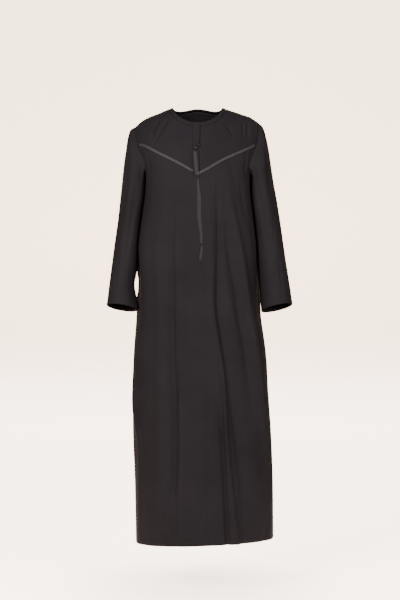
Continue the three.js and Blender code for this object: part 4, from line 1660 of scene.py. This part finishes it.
# Folds of a sleeve: angle in the ring (0 outside, 90 in front), way along it, half width and rise.
SLEEVE_FOLDS = {
    Side.RIGHT: (
        Crease(((58, 60, 14, 0), (54, 150, 16, -4), (50, 270, 17, -4), (47, 370, 16, 0))),
        Crease(((104, 110, 14, 0), (100, 260, 15, -5), (97, 400, 15, -4), (92, 500, 14, 0)), bite=0.3),
        Crease(((20, 200, 14, 0), (18, 380, 15, 3), (24, 560, 14, 2))),
        Crease(((215, 60, 16, 0), (213, 190, 17, -5), (210, 330, 16, 0))),
        Crease(((300, 180, 15, 0), (298, 380, 16, -4), (292, 540, 15, 0))),
        Crease(((32, 30, 6, 0), (30, 100, 7, -1.8), (29, 190, 8, -2), (30, 260, 8, 0)), bite=0.2),
        Crease(((76, 44, 7, 0), (75, 120, 8, -2), (78, 220, 9, 0))),
        Crease(((120, 40, 6, 0), (117, 130, 8, -2.4), (112, 260, 8, -1.6), (108, 330, 8, 0))),
        Crease(((62, 330, 8, 0), (70, 392, 8, -1.8), (84, 450, 8, 0)), bite=0.3),
        Crease(((56, 430, 8, 0), (62, 500, 8, -1.6), (66, 575, 8, -1))),
        Crease(((252, 60, 8, 0), (255, 180, 9, -2), (252, 300, 9, 0))),
        Crease(((325, 300, 8, 0), (328, 420, 9, -2), (322, 560, 9, 0))),
        Crease(((180, 380, 16, 0), (180, 445, 18, 6.5), (180, 492, 16, 0))),
        Crease(((180, 525, 14, 0), (180, 570, 17, 7), (180, 600, 17, 6))),
    ),
    Side.LEFT: (
        Crease(((58, 60, 14, 0), (52, 150, 16, -4), (50, 270, 17, -4), (47, 370, 16, 0))),
        Crease(((104, 110, 14, 0), (102, 260, 15, -5), (96, 400, 15, -4), (90, 500, 14, 0)), bite=0.3),
        Crease(((20, 200, 14, 0), (20, 380, 15, 3), (26, 560, 14, 2))),
        Crease(((215, 60, 16, 0), (213, 190, 17, -5), (210, 330, 16, 0))),
        Crease(((300, 180, 15, 0), (296, 380, 16, -4), (290, 540, 15, 0))),
        Crease(((28, 30, 6, 0), (26, 110, 7, -2.2), (24, 210, 8, -2.2), (25, 290, 8, 0)), bite=0.2),
        Crease(((40, 24, 6, 0), (39, 100, 7, 1.8), (37, 200, 8, 1.6), (38, 270, 8, 0))),
        Crease(((78, 44, 7, 0), (76, 130, 8, -2), (79, 240, 9, 0))),
        Crease(((122, 40, 6, 0), (118, 130, 8, -2.4), (113, 270, 8, -1.6), (108, 350, 8, 0))),
        Crease(((58, 320, 8, 0), (68, 388, 8, -1.8), (86, 452, 8, 0)), bite=0.3),
        Crease(((60, 440, 8, 0), (64, 510, 8, -1.6), (68, 580, 8, -1))),
        Crease(((250, 60, 8, 0), (254, 190, 9, -2), (250, 310, 9, 0))),
        Crease(((327, 300, 8, 0), (330, 430, 9, -2), (324, 560, 9, 0))),
        Crease(
            (
                (184, 14, 18, 0),
                (184, 60, 20, 5.5),
                (184, 140, 20, 5),
                (182, 240, 18, 2),
                (180, 300, 18, 0),
            ),
        ),
    ),
}


class Sleeve(Maker):
    """A long straight sleeve from its armhole to the open cuff, with a turned hem."""

    def __init__(self, side: Side, form: WornForm, seams: Seams, finishes: Finishes) -> None:
        """Lay the sleeve's grid.

        Args:
            side: left or right.
            form: the worn form, which holds the armhole.
            seams: its sewing lines.
            finishes: the materials.
        """
        super().__init__(form, seams, finishes)
        self.side = side
        run = {part: np.linspace(0, 1, steps + 1) for part, steps in SLEEVE_STEPS.items()}
        loop = np.concatenate(
            [
                seams.armhole(side, 0, V_END, run["yoke"][:-1]),
                seams.armhole(side, V_END, UNDERARM, run["front"][:-1]),
                seams.armhole(side, UNDERARM, 0, run["back"], Face.BACK),
            ]
        )
        self.loop = form.cloth(loop)
        self.loop[-1] = self.loop[0]
        self.inward = -form.normal(loop[:, 0], loop[:, 1])
        middle, out, front = self._ring(np.zeros(1))
        off = self.loop - middle[0]
        ahead, aside = off @ front[0] / (front[0] @ front[0]), off @ out[0] / (out[0] @ out[0])
        self.angle = np.arctan2(ahead, aside)
        self.first = self._on_ring(np.zeros(1))[0]
        self.relief = Relief(SLEEVE_FOLDS[side], degree=SLEEVE_DEVELOPED)
        self.way = shares(130, SLEEVE_LENGTH, (True, False))
        self.points, self.normals = self._surface(self.way)

    def _ring(self, way: np.ndarray) -> tuple[np.ndarray, np.ndarray, np.ndarray]:
        """Give the sleeve's rings.

        Args:
            way: shares of the way along the sleeve.

        Returns:
            Each ring's middle, its half width to the outside and its half depth to the front.
        """
        table, sign = SLEEVE[self.side], self.side.value
        y = table.read("y", way)
        outer = np.stack([sign * table.read("outer", way), y, table.read("outer_z", way)], -1)
        inner = np.stack([sign * table.read("inner", way), y, table.read("inner_z", way)], -1)
        rise = table.read("lift", way)
        front = np.stack([0 * way, -np.ones(way.shape), rise], -1) * table.read("depth", way)[:, None]
        return (outer + inner) / 2, (outer - inner) / 2, front

    def _on_ring(self, way: np.ndarray) -> np.ndarray:
        """Give points on the rings, at the angles of the armhole's points.

        Args:
            way: shares of the way along the sleeve.

        Returns:
            Rows and columns of points.
        """
        middle, out, front = self._ring(way)
        cosine, sine = np.cos(self.angle)[None, :, None], np.sin(self.angle)[None, :, None]
        return middle[:, None] + out[:, None] * cosine + front[:, None] * sine

    def _surface(self, way: np.ndarray) -> tuple[np.ndarray, np.ndarray]:
        """Lay the sleeve's points and normals.

        Args:
            way: shares of the way along the sleeve.

        Returns:
            Rows and columns of points, and their outward normals.
        """
        t = np.clip(way / SLEEVE_SETTLES, 0, 1)
        keeps = 1 - t * t * (3 - 2 * t)
        points = self._on_ring(way) + (self.loop - self.first)[None] * keeps[:, None, None]
        middle = self._ring(way)[0][:, None]
        outward = unit(points - middle)
        around = np.degrees(self.angle) % 360
        angle, down = np.meshgrid(around, way * SLEEVE_LENGTH)
        lift = self.relief.rise(angle, down) * np.minimum(1, way / SLEEVE_FOLDS_START)[:, None]
        from_seam = way[:, None] * SLEEVE_LENGTH
        lift += SLEEVE_SEAM.swelling(from_seam)
        under = np.abs((angle - UNDER_SEAM_ANGLE + 180) % 360 - 180) * SLEEVE_DEVELOPED
        lift -= UNDER_SEAM_DEEP * np.exp(-((under / UNDER_SEAM_REACH) ** 2))
        pressed = PRESSED_IN * np.exp(-((from_seam / PRESSED_REACH) ** 2))
        points = points + outward * lift[..., None] + self.inward[None] * pressed[..., None]
        along = np.gradient(points, axis=0)
        ring = np.concatenate([points[:, -2:-1], points, points[:, 1:2]], 1)
        normals = unit(np.cross(along, ring[:, 2:] - ring[:, :-2]))
        flip = np.sign(np.sum(normals * outward, -1).mean(1))[:, None, None]
        return points, normals * flip

    def build(self) -> bpy.types.Object:
        """Make the sleeve.

        Returns:
            The sleeve, which replaces its node.
        """
        row = int(np.searchsorted(self.way * SLEEVE_LENGTH, SLEEVE_LENGTH - CUFF_DEPTH))
        picks = [(-1, HEM_INSIDE[0]), (-2, HEM_INSIDE[1]), (row, HEM_INSIDE[3])]
        points = np.concatenate([self.points, turned_hem(self.points, self.normals, picks)])
        bm = grid_mesh(points, tube=True)
        middle = (len(self.points) // 2, SLEEVE_STEPS["yoke"])
        face_outwards(bm, self.points[middle], self.normals[middle])
        name = f"sleeve_{self.side.label}"
        piece = mesh_piece(f"{name}_cloth", bm, self.finishes.cloth)
        add_wall(piece, CLOTH_THICK)
        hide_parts(name)
        log.info("%s: %d rows by %d columns", name, *points.shape[:2])
        return piece


STRIP_THICK = 0.5
# The band's section: margin, from 0 at its edge to 1 at its seam, and how far it stands off.
BAND_SECTION = (
    (0.98, -0.4),
    (0.97, 0.1),
    (0.9, 0.35),
    (0.5, 0.4),
    (0.12, 0.38),
    (0.02, 0.2),
    (-0.05, -0.3),
    (-0.05, -0.9),
    (0.03, -1.4),
    (0.3, -1.6),
    (0.98, -1.7),
)
BAND_TOP = 3  # the row of the section that lies on the band's outer face
# The way round the band at which each stretch of the neck ends.
BAND_LEFT_END, BAND_BACK_END = 0.36, 0.64


class Neckband(Maker):
    """The narrow folded band round the neck, open at the slit."""

    def around(self, margin: float, at: np.ndarray) -> np.ndarray:
        """Follow the band round the neck, from the slit over the left and back.

        Args:
            margin: 0 at the edge and 1 at the seam.
            at: shares of the way.

        Returns:
            The places.
        """
        s = self.seams
        return stages(
            at,
            (BAND_LEFT_END, lambda t: s.front_neck(Side.LEFT, margin, 1 - t)),
            (BAND_BACK_END, lambda t: s.back_neck(margin, t)),
            (1.0, lambda t: s.front_neck(Side.RIGHT, margin, t)),
        )

    def build(self) -> bpy.types.Object:
        """Make the band.

        Returns:
            The band, which replaces its node.
        """
        at = np.linspace(0, 1, 221)
        points = np.stack([self.form.cloth(self.around(margin, at), out) for margin, out in BAND_SECTION])
        bm = grid_mesh(points)
        probe = len(at) // 4
        middle = self.around(0.5, at)[probe]
        face_outwards(bm, points[BAND_TOP, probe], self.form.normal(middle[0], middle[1]))
        piece = mesh_piece("neckband_cloth", bm, self.finishes.cloth)
        add_wall(piece, STRIP_THICK)
        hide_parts("neckband")
        log.info("neckband: %d rows by %d columns", *points.shape[:2])
        return piece


SEAT = 0.6
PLACKET_THICK = 1.2
PLACKET_TOP, PLACKET_FOOT = -36.4, -212.0
PLACKET_WAVER, PLACKET_SEED, PLACKET_PERIOD = 0.15, 41, 22
ARM_WIDTH = 7.4
SEAM_GAP = 0.3
ON_PLACKET = SEAT + PLACKET_THICK + SEAM_GAP
PLACKET = Table(
    "z start end",
    (
        (-37, -17.5, 7.5),
        (-90, -17.5, 6.5),
        (-125, -17, 3.5),
        (-170, -16.5, 4.5),
        (-211, -15, 6),
    ),
)
# The strip's section: share of its width and how far it stands off the cloth.
PLACKET_SECTION = (
    (0.0, 0.2),
    (0.0, 0.9),
    (0.02, 1.5),
    (0.06, 1.75),
    (0.14, 1.62),
    (0.5, 1.75),
    (0.86, 1.62),
    (0.94, 1.75),
    (0.98, 1.5),
    (1.0, 0.9),
    (1.0, 0.2),
)


class Placket(Maker):
    """The strip over the front slit, pressed flat with rounded edges."""

    def places(self, across: np.ndarray, z: np.ndarray) -> np.ndarray:
        """Find places on the strip.

        Args:
            across: shares from its one edge to the other.
            z: heights.

        Returns:
            The places.
        """
        start, end = PLACKET.read("start", z), PLACKET.read("end", z)
        return self.form.front(start + (end - start) * across, z)

    def build(self) -> bpy.types.Object:
        """Make the strip.

        Returns:
            The strip, which replaces its node.
        """
        z = np.linspace(PLACKET_TOP, PLACKET_FOOT, 90)
        waver = PLACKET_WAVER * ripple(z, PLACKET_SEED, PLACKET_PERIOD)
        rows = []
        for share, out in PLACKET_SECTION:
            off = out + waver if 0.05 < share < 0.95 else out
            rows.append(self.form.cloth(self.places(np.full(z.shape, share), z), off))
        points = np.stack(rows, 1)
        bm = grid_mesh(points)
        face_outwards(bm, points[len(z) // 2, len(PLACKET_SECTION) // 2], FORWARD)
        piece = mesh_piece("placket_cloth", bm, self.finishes.cloth)
        add_wall(piece, STRIP_THICK)
        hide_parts("placket")
        return piece


BRAID_STEP, BRAID_THICK = 0.65, 0.4
# Places across a braid, from one edge to the other.
BRAID_ACROSS = np.array(
    [-1, -1, -0.93, -0.8, -0.66, -0.5, -0.34, -0.17, 0, 0.17, 0.34, 0.5, 0.66, 0.8, 0.93, 1, 1]
)


@dataclass(frozen=True)
class Braid:
    """A braid's relief in millimetres; places across it are shares of its half width."""

    rib: float = 2.6
    lean: float = 1.1
    ground: float = 0.72
    chevron: float = 0.16
    edge: float = 0.2
    edge_at: float = 0.88
    edge_reach: float = 0.1
    picot: float = 1.3
    rim: float = 0.35

    def height(self, at: np.ndarray) -> np.ndarray:
        """Give the height of chevron ribs between two knotted edges.

        Args:
            at: distance along the tape.

        Returns:
            The height, for each distance and each place across.
        """
        flanks = np.abs(BRAID_ACROSS)
        chevron = np.sin(2 * np.pi * (at[:, None] / self.rib - flanks[None] * self.lean))
        edge = np.exp(-(((flanks - self.edge_at) / self.edge_reach) ** 2))
        knots = 1 + 0.5 * np.sin(at * 2 * np.pi / self.picot)
        height = self.ground + self.chevron * chevron * (1 - edge)[None]
        height += self.edge * edge[None] * knots[:, None]
        height *= np.where(flanks >= 1, self.rim, 1.0)[None]
        height[:, 0] = height[:, -1] = 0.0
        return height


@dataclass
class Tape:
    """A narrow braided tape sewn flat on the front."""

    form: WornForm
    node: str
    line: np.ndarray
    width: np.ndarray
    off: np.ndarray
    flat: tuple[float, float]
    material: bpy.types.Material

    def build(self) -> bpy.types.Object:
        """Make the tape.

        Returns:
            The tape, which replaces its node.
        """
        length = travelled(self.line)
        count = max(int(length[-1] / BRAID_STEP), 8)
        at = np.linspace(0, length[-1], count)
        line = np.stack([np.interp(at, length, column) for column in self.line.T], 1)
        width, off = np.interp(at, length, self.width), np.interp(at, length, self.off)
        way = unit(np.gradient(line, axis=0))
        aside = np.stack([-way[:, 1], way[:, 0]], 1)
        spot = line[:, None] + aside[:, None] * BRAID_ACROSS[None, :, None] * width[:, None, None] / 2
        places = self.form.front(spot[..., 0], spot[..., 1])
        points = self.form.cloth(places, off[:, None] + Braid().height(at))
        bm = grid_mesh(points)
        face_outwards(bm, points[count // 2, len(BRAID_ACROSS) // 2], FORWARD)
        piece = mesh_piece(f"{self.node}_braid", bm, self.material)
        add_wall(piece, BRAID_THICK)
        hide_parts(self.node)
        log.info("%s: %.0f mm long", self.node, length[-1])
        return piece


@dataclass(frozen=True)
class Ball:
    """A button or a knot: its node, its middle on the front, its radius and how high it stands."""

    node: str
    x: float
    z: float
    radius: float
    high: float


BUTTON = Ball("button", -7.8, -121.0, 5.0, 7.0)
KNOT = Ball("button_loop_knot", 3.2, -113.0, 3.4, 6.8)
GROOVES, GROOVE_TWIST, GROOVE_DEEP = 2.5, 2.2, 0.07
LOOP_RADIUS, LOOP_CORD = 7.4, 1.1
LOOP_STRANDS, LOOP_TWISTS, LOOP_RELIEF = 2, 16, 0.1
ARM_START = 0.035
ARM_STOP = {Side.RIGHT: -15.9, Side.LEFT: 2.6}
ARM_CLIMBS_AT, ARM_CLIMBS_OVER = 8.0, 16.0
# The stem's stations: height, distance across and width.
STEM_UPPER = ((-133, -9.7, 11), (-171, -6.5, 11), (-207, -3.3, 10.5))
STEM_LOWER = (
    (-220, -0.5, 6),
    (-240, 0.8, 8),
    (-285, 3.8, 12.5),
    (-345, 4.2, 12.5),
    (-386, 9.4, 10.5),
    (-424, 11.6, 8.5),
)
STEM_TAIL = ((-432, 11.8, 6), (-450, 11, 9), (-468, 8.6, 9), (-479, 6.6, 5))


class Trim(Maker):
    """The V of tape, its stem, and the button in its loop."""

    def arm(self, side: Side) -> bpy.types.Object:
        """Make one arm of the V; the left one climbs on to the placket.

        Args:
            side: left or right.

        Returns:
            The tape.
        """
        places = self.seams.v_line(side, np.linspace(ARM_START, 1, 160))
        line = self.form.smooth(places[:, 0], places[:, 1])[:, [0, 2]]
        line = line[np.abs(line[:, 0]) > abs(ARM_STOP[side])]
        climb = np.zeros(len(line))
        if side is Side.LEFT:
            t = np.clip((line[:, 0] - ARM_CLIMBS_AT) / ARM_CLIMBS_OVER, 0, 1)
            climb = 1 - t * t * (3 - 2 * t)
        return Tape(
            self.form,
            node=f"yoke_tape_{side.label}",
            line=line,
            width=np.full(len(line), ARM_WIDTH),
            off=SEAT + (ON_PLACKET - SEAT) * climb,
            flat=(0.214, 0.01),
            material=self.finishes.tape,
        ).build()

    def stem(
        self, node: str, rows: Sequence[Sequence[float]], off: float, flat: tuple[float, float]
    ) -> bpy.types.Object:
        """Make one stretch of the stem.

        Args:
            node: the node that it stands for.
            rows: height, x and width at its stations, from the top down.
            off: how far its underside stands off the cloth.
            flat: width and length that it was cut to; not used.

        Returns:
            The tape.
        """
        table = Table("z x wide", rows)
        z = np.linspace(rows[0][0], rows[-1][0], 80)
        return Tape(
            self.form,
            node=node,
            line=np.stack([table.read("x", z), z], 1),
            width=table.read("wide", z),
            off=np.full(len(z), off),
            flat=flat,
            material=self.finishes.dull_tape,
        ).build()

    def _stance(self, x: float, z: float, off: float) -> Matrix:
        """Find how something stands on the front.

        Args:
            x: distance to the left of the middle.
            z: height.
            off: how far its middle stands off the cloth.

        Returns:
            The matrix that puts it there, with its own Z facing out.
        """
        place = self.form.front(np.array([x]), np.array([z]))
        centre = self.form.cloth(place, off)[0]
        normal = self.form.normal(place[:, 0], place[:, 1])[0]
        turn = Vector(normal).to_track_quat("Z", "Y").to_matrix().to_4x4()
        return Matrix.Translation(Vector(centre * METRE)) @ turn

    def ball(self, shape: Ball) -> bpy.types.Object:
        """Make the button or the knot, a flattened ball with grooves wound round it.

        Args:
            shape: its place and size.

        Returns:
            The ball.
        """
        radius = shape.radius * METRE
        bm = bmesh.new()
        bmesh.ops.create_uvsphere(bm, u_segments=40, v_segments=24, radius=radius)
        for vert in bm.verts:
            angle = math.atan2(vert.co.y, vert.co.x)
            tilt = vert.co.z / radius
            groove = abs(math.sin(GROOVES * angle + GROOVE_TWIST * tilt)) * max(1 - tilt * tilt, 0)
            vert.co *= 1 - GROOVE_DEEP * (1 - groove**0.5)
            vert.co.z *= shape.high / (2 * shape.radius)
        stance = self._stance(shape.x, shape.z, ON_PLACKET + shape.high / 2)
        bmesh.ops.transform(bm, matrix=stance, verts=bm.verts)
        piece = mesh_piece(f"{shape.node}_ball", bm, self.finishes.button)
        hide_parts(shape.node)
        return piece

    def loop(self) -> bpy.types.Object:
        """Make the loop round the button, a twisted cord.

        Returns:
            The loop.
        """
        bm = bmesh.new()
        uv = bm.loops.layers.uv.new("cloth")
        bmesh.ops.create_circle(bm, segments=10, radius=LOOP_CORD * METRE)
        upright = Matrix.Rotation(math.pi / 2, 3, "X")
        bmesh.ops.rotate(bm, cent=(0, 0, 0), matrix=upright, verts=bm.verts)
        bmesh.ops.translate(bm, vec=(LOOP_RADIUS * METRE, 0, 0), verts=bm.verts)
        bmesh.ops.spin(
            bm,
            geom=bm.verts[:] + bm.edges[:],
            cent=(0, 0, 0),
            axis=(0, 0, 1),
            angle=2 * math.pi,
            steps=56,
            use_merge=True,
        )
        bmesh.ops.remove_doubles(bm, verts=bm.verts, dist=1e-6)
        for vert in bm.verts:
            angle = math.atan2(vert.co.y, vert.co.x)
            core = Vector((math.cos(angle), math.sin(angle), 0)) * LOOP_RADIUS * METRE
            off = vert.co - core
            around = math.atan2(off.z, off.length if off.dot(core) > 0 else -off.length)
            strands = math.sin(LOOP_STRANDS * around + LOOP_TWISTS * angle)
            vert.co = core + off * (1 - LOOP_RELIEF + LOOP_RELIEF * strands)
        for face in bm.faces:
            for corner in face.loops:
                corner[uv].uv = (corner.vert.co.x, corner.vert.co.y + corner.vert.co.z)
        bmesh.ops.recalc_face_normals(bm, faces=bm.faces)
        stance = self._stance(BUTTON.x, BUTTON.z, ON_PLACKET + LOOP_CORD)
        bmesh.ops.transform(bm, matrix=stance, verts=bm.verts)
        piece = mesh_piece("button_loop_cord", bm, self.finishes.thread)
        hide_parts("button_loop")
        return piece


@dataclass(frozen=True)
class Stitch:
    """One lockstitch in millimetres.

    Its pitch is the distance to the next one; its length, width and height are halved. The way
    that it points is measured a little ahead of it.
    """

    pitch: float = 3.2
    length: float = 1.15
    width: float = 0.26
    height: float = 0.2
    stands: float = 0.1
    ahead: float = 0.8


@dataclass
class Sewing(Maker):
    """Rows of lockstitches, each stitch a small rounded grain of thread."""

    stitch: Stitch = Stitch()

    def row(self, name: str, points: np.ndarray, normals: np.ndarray) -> bpy.types.Object:
        """Sew one row.

        Args:
            name: the row's name.
            points: a fine line on the cloth.
            normals: the cloth's outward normals along it.

        Returns:
            The row of stitches.
        """
        length = travelled(points)

        def read(values: np.ndarray, at: float) -> Vector:
            """Read a row of vectors at a distance along the line.

            Args:
                values: a vector for each point of the line.
                at: the distance.

            Returns:
                The vector there.
            """
            return Vector([float(np.interp(at, length, column)) for column in values.T])

        bm = bmesh.new()
        shape = self.stitch
        for at in np.arange(shape.pitch / 2, length[-1], shape.pitch):
            centre = read(points, at)
            out = read(normals, at).normalized()
            along = (read(points, at + shape.ahead) - centre).normalized()
            if along.length < 0.5:
                continue
            side = out.cross(along).normalized()
            grain = Matrix((along * shape.length, side * shape.width, out * shape.height))
            spot = Matrix.Translation((centre + out * shape.stands) * METRE)
            matrix = spot @ grain.transposed().to_4x4()
            bmesh.ops.create_icosphere(bm, subdivisions=1, radius=METRE, matrix=matrix)
        return mesh_piece(name, bm, self.finishes.thread)

    def on_form(self, name: str, places: np.ndarray, out: float) -> bpy.types.Object:
        """Sew a row along places of the body cloth.

        Args:
            name: the row's name.
            places: the places.
            out: how far the thread stands off the cloth.

        Returns:
            The row of stitches.
        """
        normals = self.form.normal(places[:, 0], places[:, 1])
        return self.row(name, self.form.cloth(places, out), normals)


@dataclass(frozen=True)
class Lamp:
    """A soft square light: where it hangs, what it faces, its width in metres, watts and colour."""

    name: str
    at: tuple[float, float, float]
    aim: tuple[float, float, float]
    size: float
    power: float
    colour: str


@dataclass(frozen=True)
class Sweep:
    """The seamless floor and wall, in metres."""

    floor_z: float = -1.537
    wall_y: float = 7.4
    bend: float = 1.4
    run: float = 14.0
    rise: float = 7.0
    width: float = 24.0

    def point(self, across: float, along: float) -> Vector:
        """Give a point of the sweep.

        Args:
            across: share of its width, from the middle.
            along: share of its length, from the front edge of the floor to the top of the wall.

        Returns:
            The point.
        """
        arc = self.bend * math.pi / 2
        at = along * (self.run + arc + self.rise)
        x = across * self.width
        start = self.wall_y - self.bend
        if at < self.run:
            return Vector((x, start - self.run + at, self.floor_z))
        if at < self.run + arc:
            angle = (at - self.run) / self.bend
            y = start + math.sin(angle) * self.bend
            return Vector((x, y, self.floor_z + self.bend * (1 - math.cos(angle))))
        return Vector((x, self.wall_y, self.floor_z + self.bend + at - self.run - arc))


class Studio:
    """The pale floor and wall, the soft lights and the camera."""

    LAMPS = (
        Lamp("key", (-2.2, -3.6, 1.3), (0.0, 0.0, -0.15), 1.6, 500.0, "fbfaff"),
        Lamp("fill", (2.7, -3.6, 0.9), (0.0, 0.0, -0.2), 2.2, 325.0, "f4f7ff"),
    )
    EVEN_LIGHT, EVEN_STRENGTH = "f4f4f6", 0.22
    CAMERA_AT = (0.0065, -5.0, -0.6045)
    LENS, SENSOR = 92.3, 36.0

    def floor(self) -> None:
        """Make the seamless floor and wall."""
        sweep = Sweep()
        bm = bmesh.new()
        bmesh.ops.create_grid(bm, x_segments=2, y_segments=60, size=0.5)
        for vert in bm.verts:
            vert.co = sweep.point(vert.co.x, vert.co.y + 0.5)
        bmesh.ops.recalc_face_normals(bm, faces=bm.faces)
        mesh = bpy.data.meshes.new("studio_sweep")
        bm.to_mesh(mesh)
        bm.free()
        mesh.polygons.foreach_set("use_smooth", [True] * len(mesh.polygons))
        mesh.materials.append(StudioPaper(floor_z=sweep.floor_z).build())
        paper = bpy.data.objects.new("studio_sweep", mesh)
        bpy.context.scene.collection.objects.link(paper)

    def light(self, lamp: Lamp) -> None:
        """Hang one soft light.

        Args:
            lamp: the light.
        """
        area = bpy.data.lights.new(lamp.name, "AREA")
        area.size = lamp.size
        area.energy = lamp.power
        area.color = linear(lamp.colour)[:3]
        holder = bpy.data.objects.new(lamp.name, area)
        holder.location = lamp.at
        holder.rotation_euler = (Vector(lamp.aim) - Vector(lamp.at)).to_track_quat("-Z", "Y").to_euler()
        bpy.context.scene.collection.objects.link(holder)

    def world(self) -> None:
        """Fill the shadows with even light."""
        world = bpy.data.worlds.new("studio_fill")
        world.use_nodes = True
        ground = world.node_tree.nodes["Background"]
        ground.inputs["Color"].default_value = linear(self.EVEN_LIGHT)
        ground.inputs["Strength"].default_value = self.EVEN_STRENGTH
        bpy.context.scene.world = world

    def camera(self) -> None:
        """Set the camera level, at the height of the cuffs, with a long lens."""
        view = bpy.data.cameras.new("view")
        view.lens = self.LENS
        view.sensor_width = self.SENSOR
        view.clip_end = 60.0
        holder = bpy.data.objects.new("view", view)
        holder.location = self.CAMERA_AT
        holder.rotation_euler = (math.pi / 2, 0, 0)
        bpy.context.scene.collection.objects.link(holder)
        bpy.context.scene.camera = holder

    def build(self) -> None:
        """Make the whole studio."""
        self.floor()
        for lamp in self.LAMPS:
            self.light(lamp)
        self.world()
        self.camera()


# How far each row of stitches lies from its edge: the share of the way past the neckband's seam,
# up from the hem, up from the cuff, and the shares of the placket's width.
BAND_STITCHES, HEM_STITCHES, CUFF_STITCHES = 1.12, 15.5, 14.5
PLACKET_STITCHES = {Side.RIGHT: 0.1, Side.LEFT: 0.9}


def sew(form: WornForm, seams: Seams, finishes: Finishes, sleeves: Sequence[Sleeve]) -> None:
    """Sew every visible row of stitches.

    Args:
        form: the worn form.
        seams: its sewing lines.
        finishes: the materials.
        sleeves: the two sleeves.
    """
    sewing = Sewing(form, seams, finishes)
    band = Neckband(form, seams, finishes)
    at = np.linspace(0.004, 0.996, 400)
    sewing.on_form("neckband_topstitch", band.around(BAND_STITCHES, at), 0.15)
    hem = seams.hem(-90, 270, np.linspace(0, 1, 900))
    hem[:, 1] -= HEM_STITCHES / SHOULDER_ROLL
    sewing.on_form("hem_topstitch", hem, 0.0)
    placket = Placket(form, seams, finishes)
    z = np.linspace(-40, -208, 200)
    for side, share in PLACKET_STITCHES.items():
        places = placket.places(np.full(z.shape, share), z)
        sewing.on_form(f"placket_topstitch_{side.label}", places, 1.75)
    for sleeve in sleeves:
        row = int(np.searchsorted(sleeve.way * SLEEVE_LENGTH, SLEEVE_LENGTH - CUFF_STITCHES))
        name = f"cuff_topstitch_{sleeve.side.label}"
        sewing.row(name, sleeve.points[row], sleeve.normals[row])


def main() -> None:
    """Build every piece in order."""
    logging.basicConfig(level=logging.INFO, format="%(message)s")
    form = WornForm(BODY_FOLDS + FINE_FOLDS)
    seams = Seams(form)
    finishes = Finishes()
    body = BodyCloth(form, seams, finishes)
    for side in Side:
        body.yoke(side)
    body.lower_front()
    body.back()
    sleeves = [Sleeve(side, form, seams, finishes) for side in Side]
    for sleeve in sleeves:
        sleeve.build()
    Neckband(form, seams, finishes).build()
    Placket(form, seams, finishes).build()
    trim = Trim(form, seams, finishes)
    for side in Side:
        trim.arm(side)
    trim.stem("stem_tape_upper", STEM_UPPER, ON_PLACKET, (0.013, 0.07))
    trim.stem("stem_tape_lower", STEM_LOWER, SEAT, (0.0135, 0.206))
    trim.stem("stem_tape_tail", STEM_TAIL, SEAT, (0.01, 0.05))
    trim.ball(BUTTON)
    trim.ball(KNOT)
    trim.loop()
    sew(form, seams, finishes, sleeves)
    Studio().build()


if __name__ == "__main__":
    main()
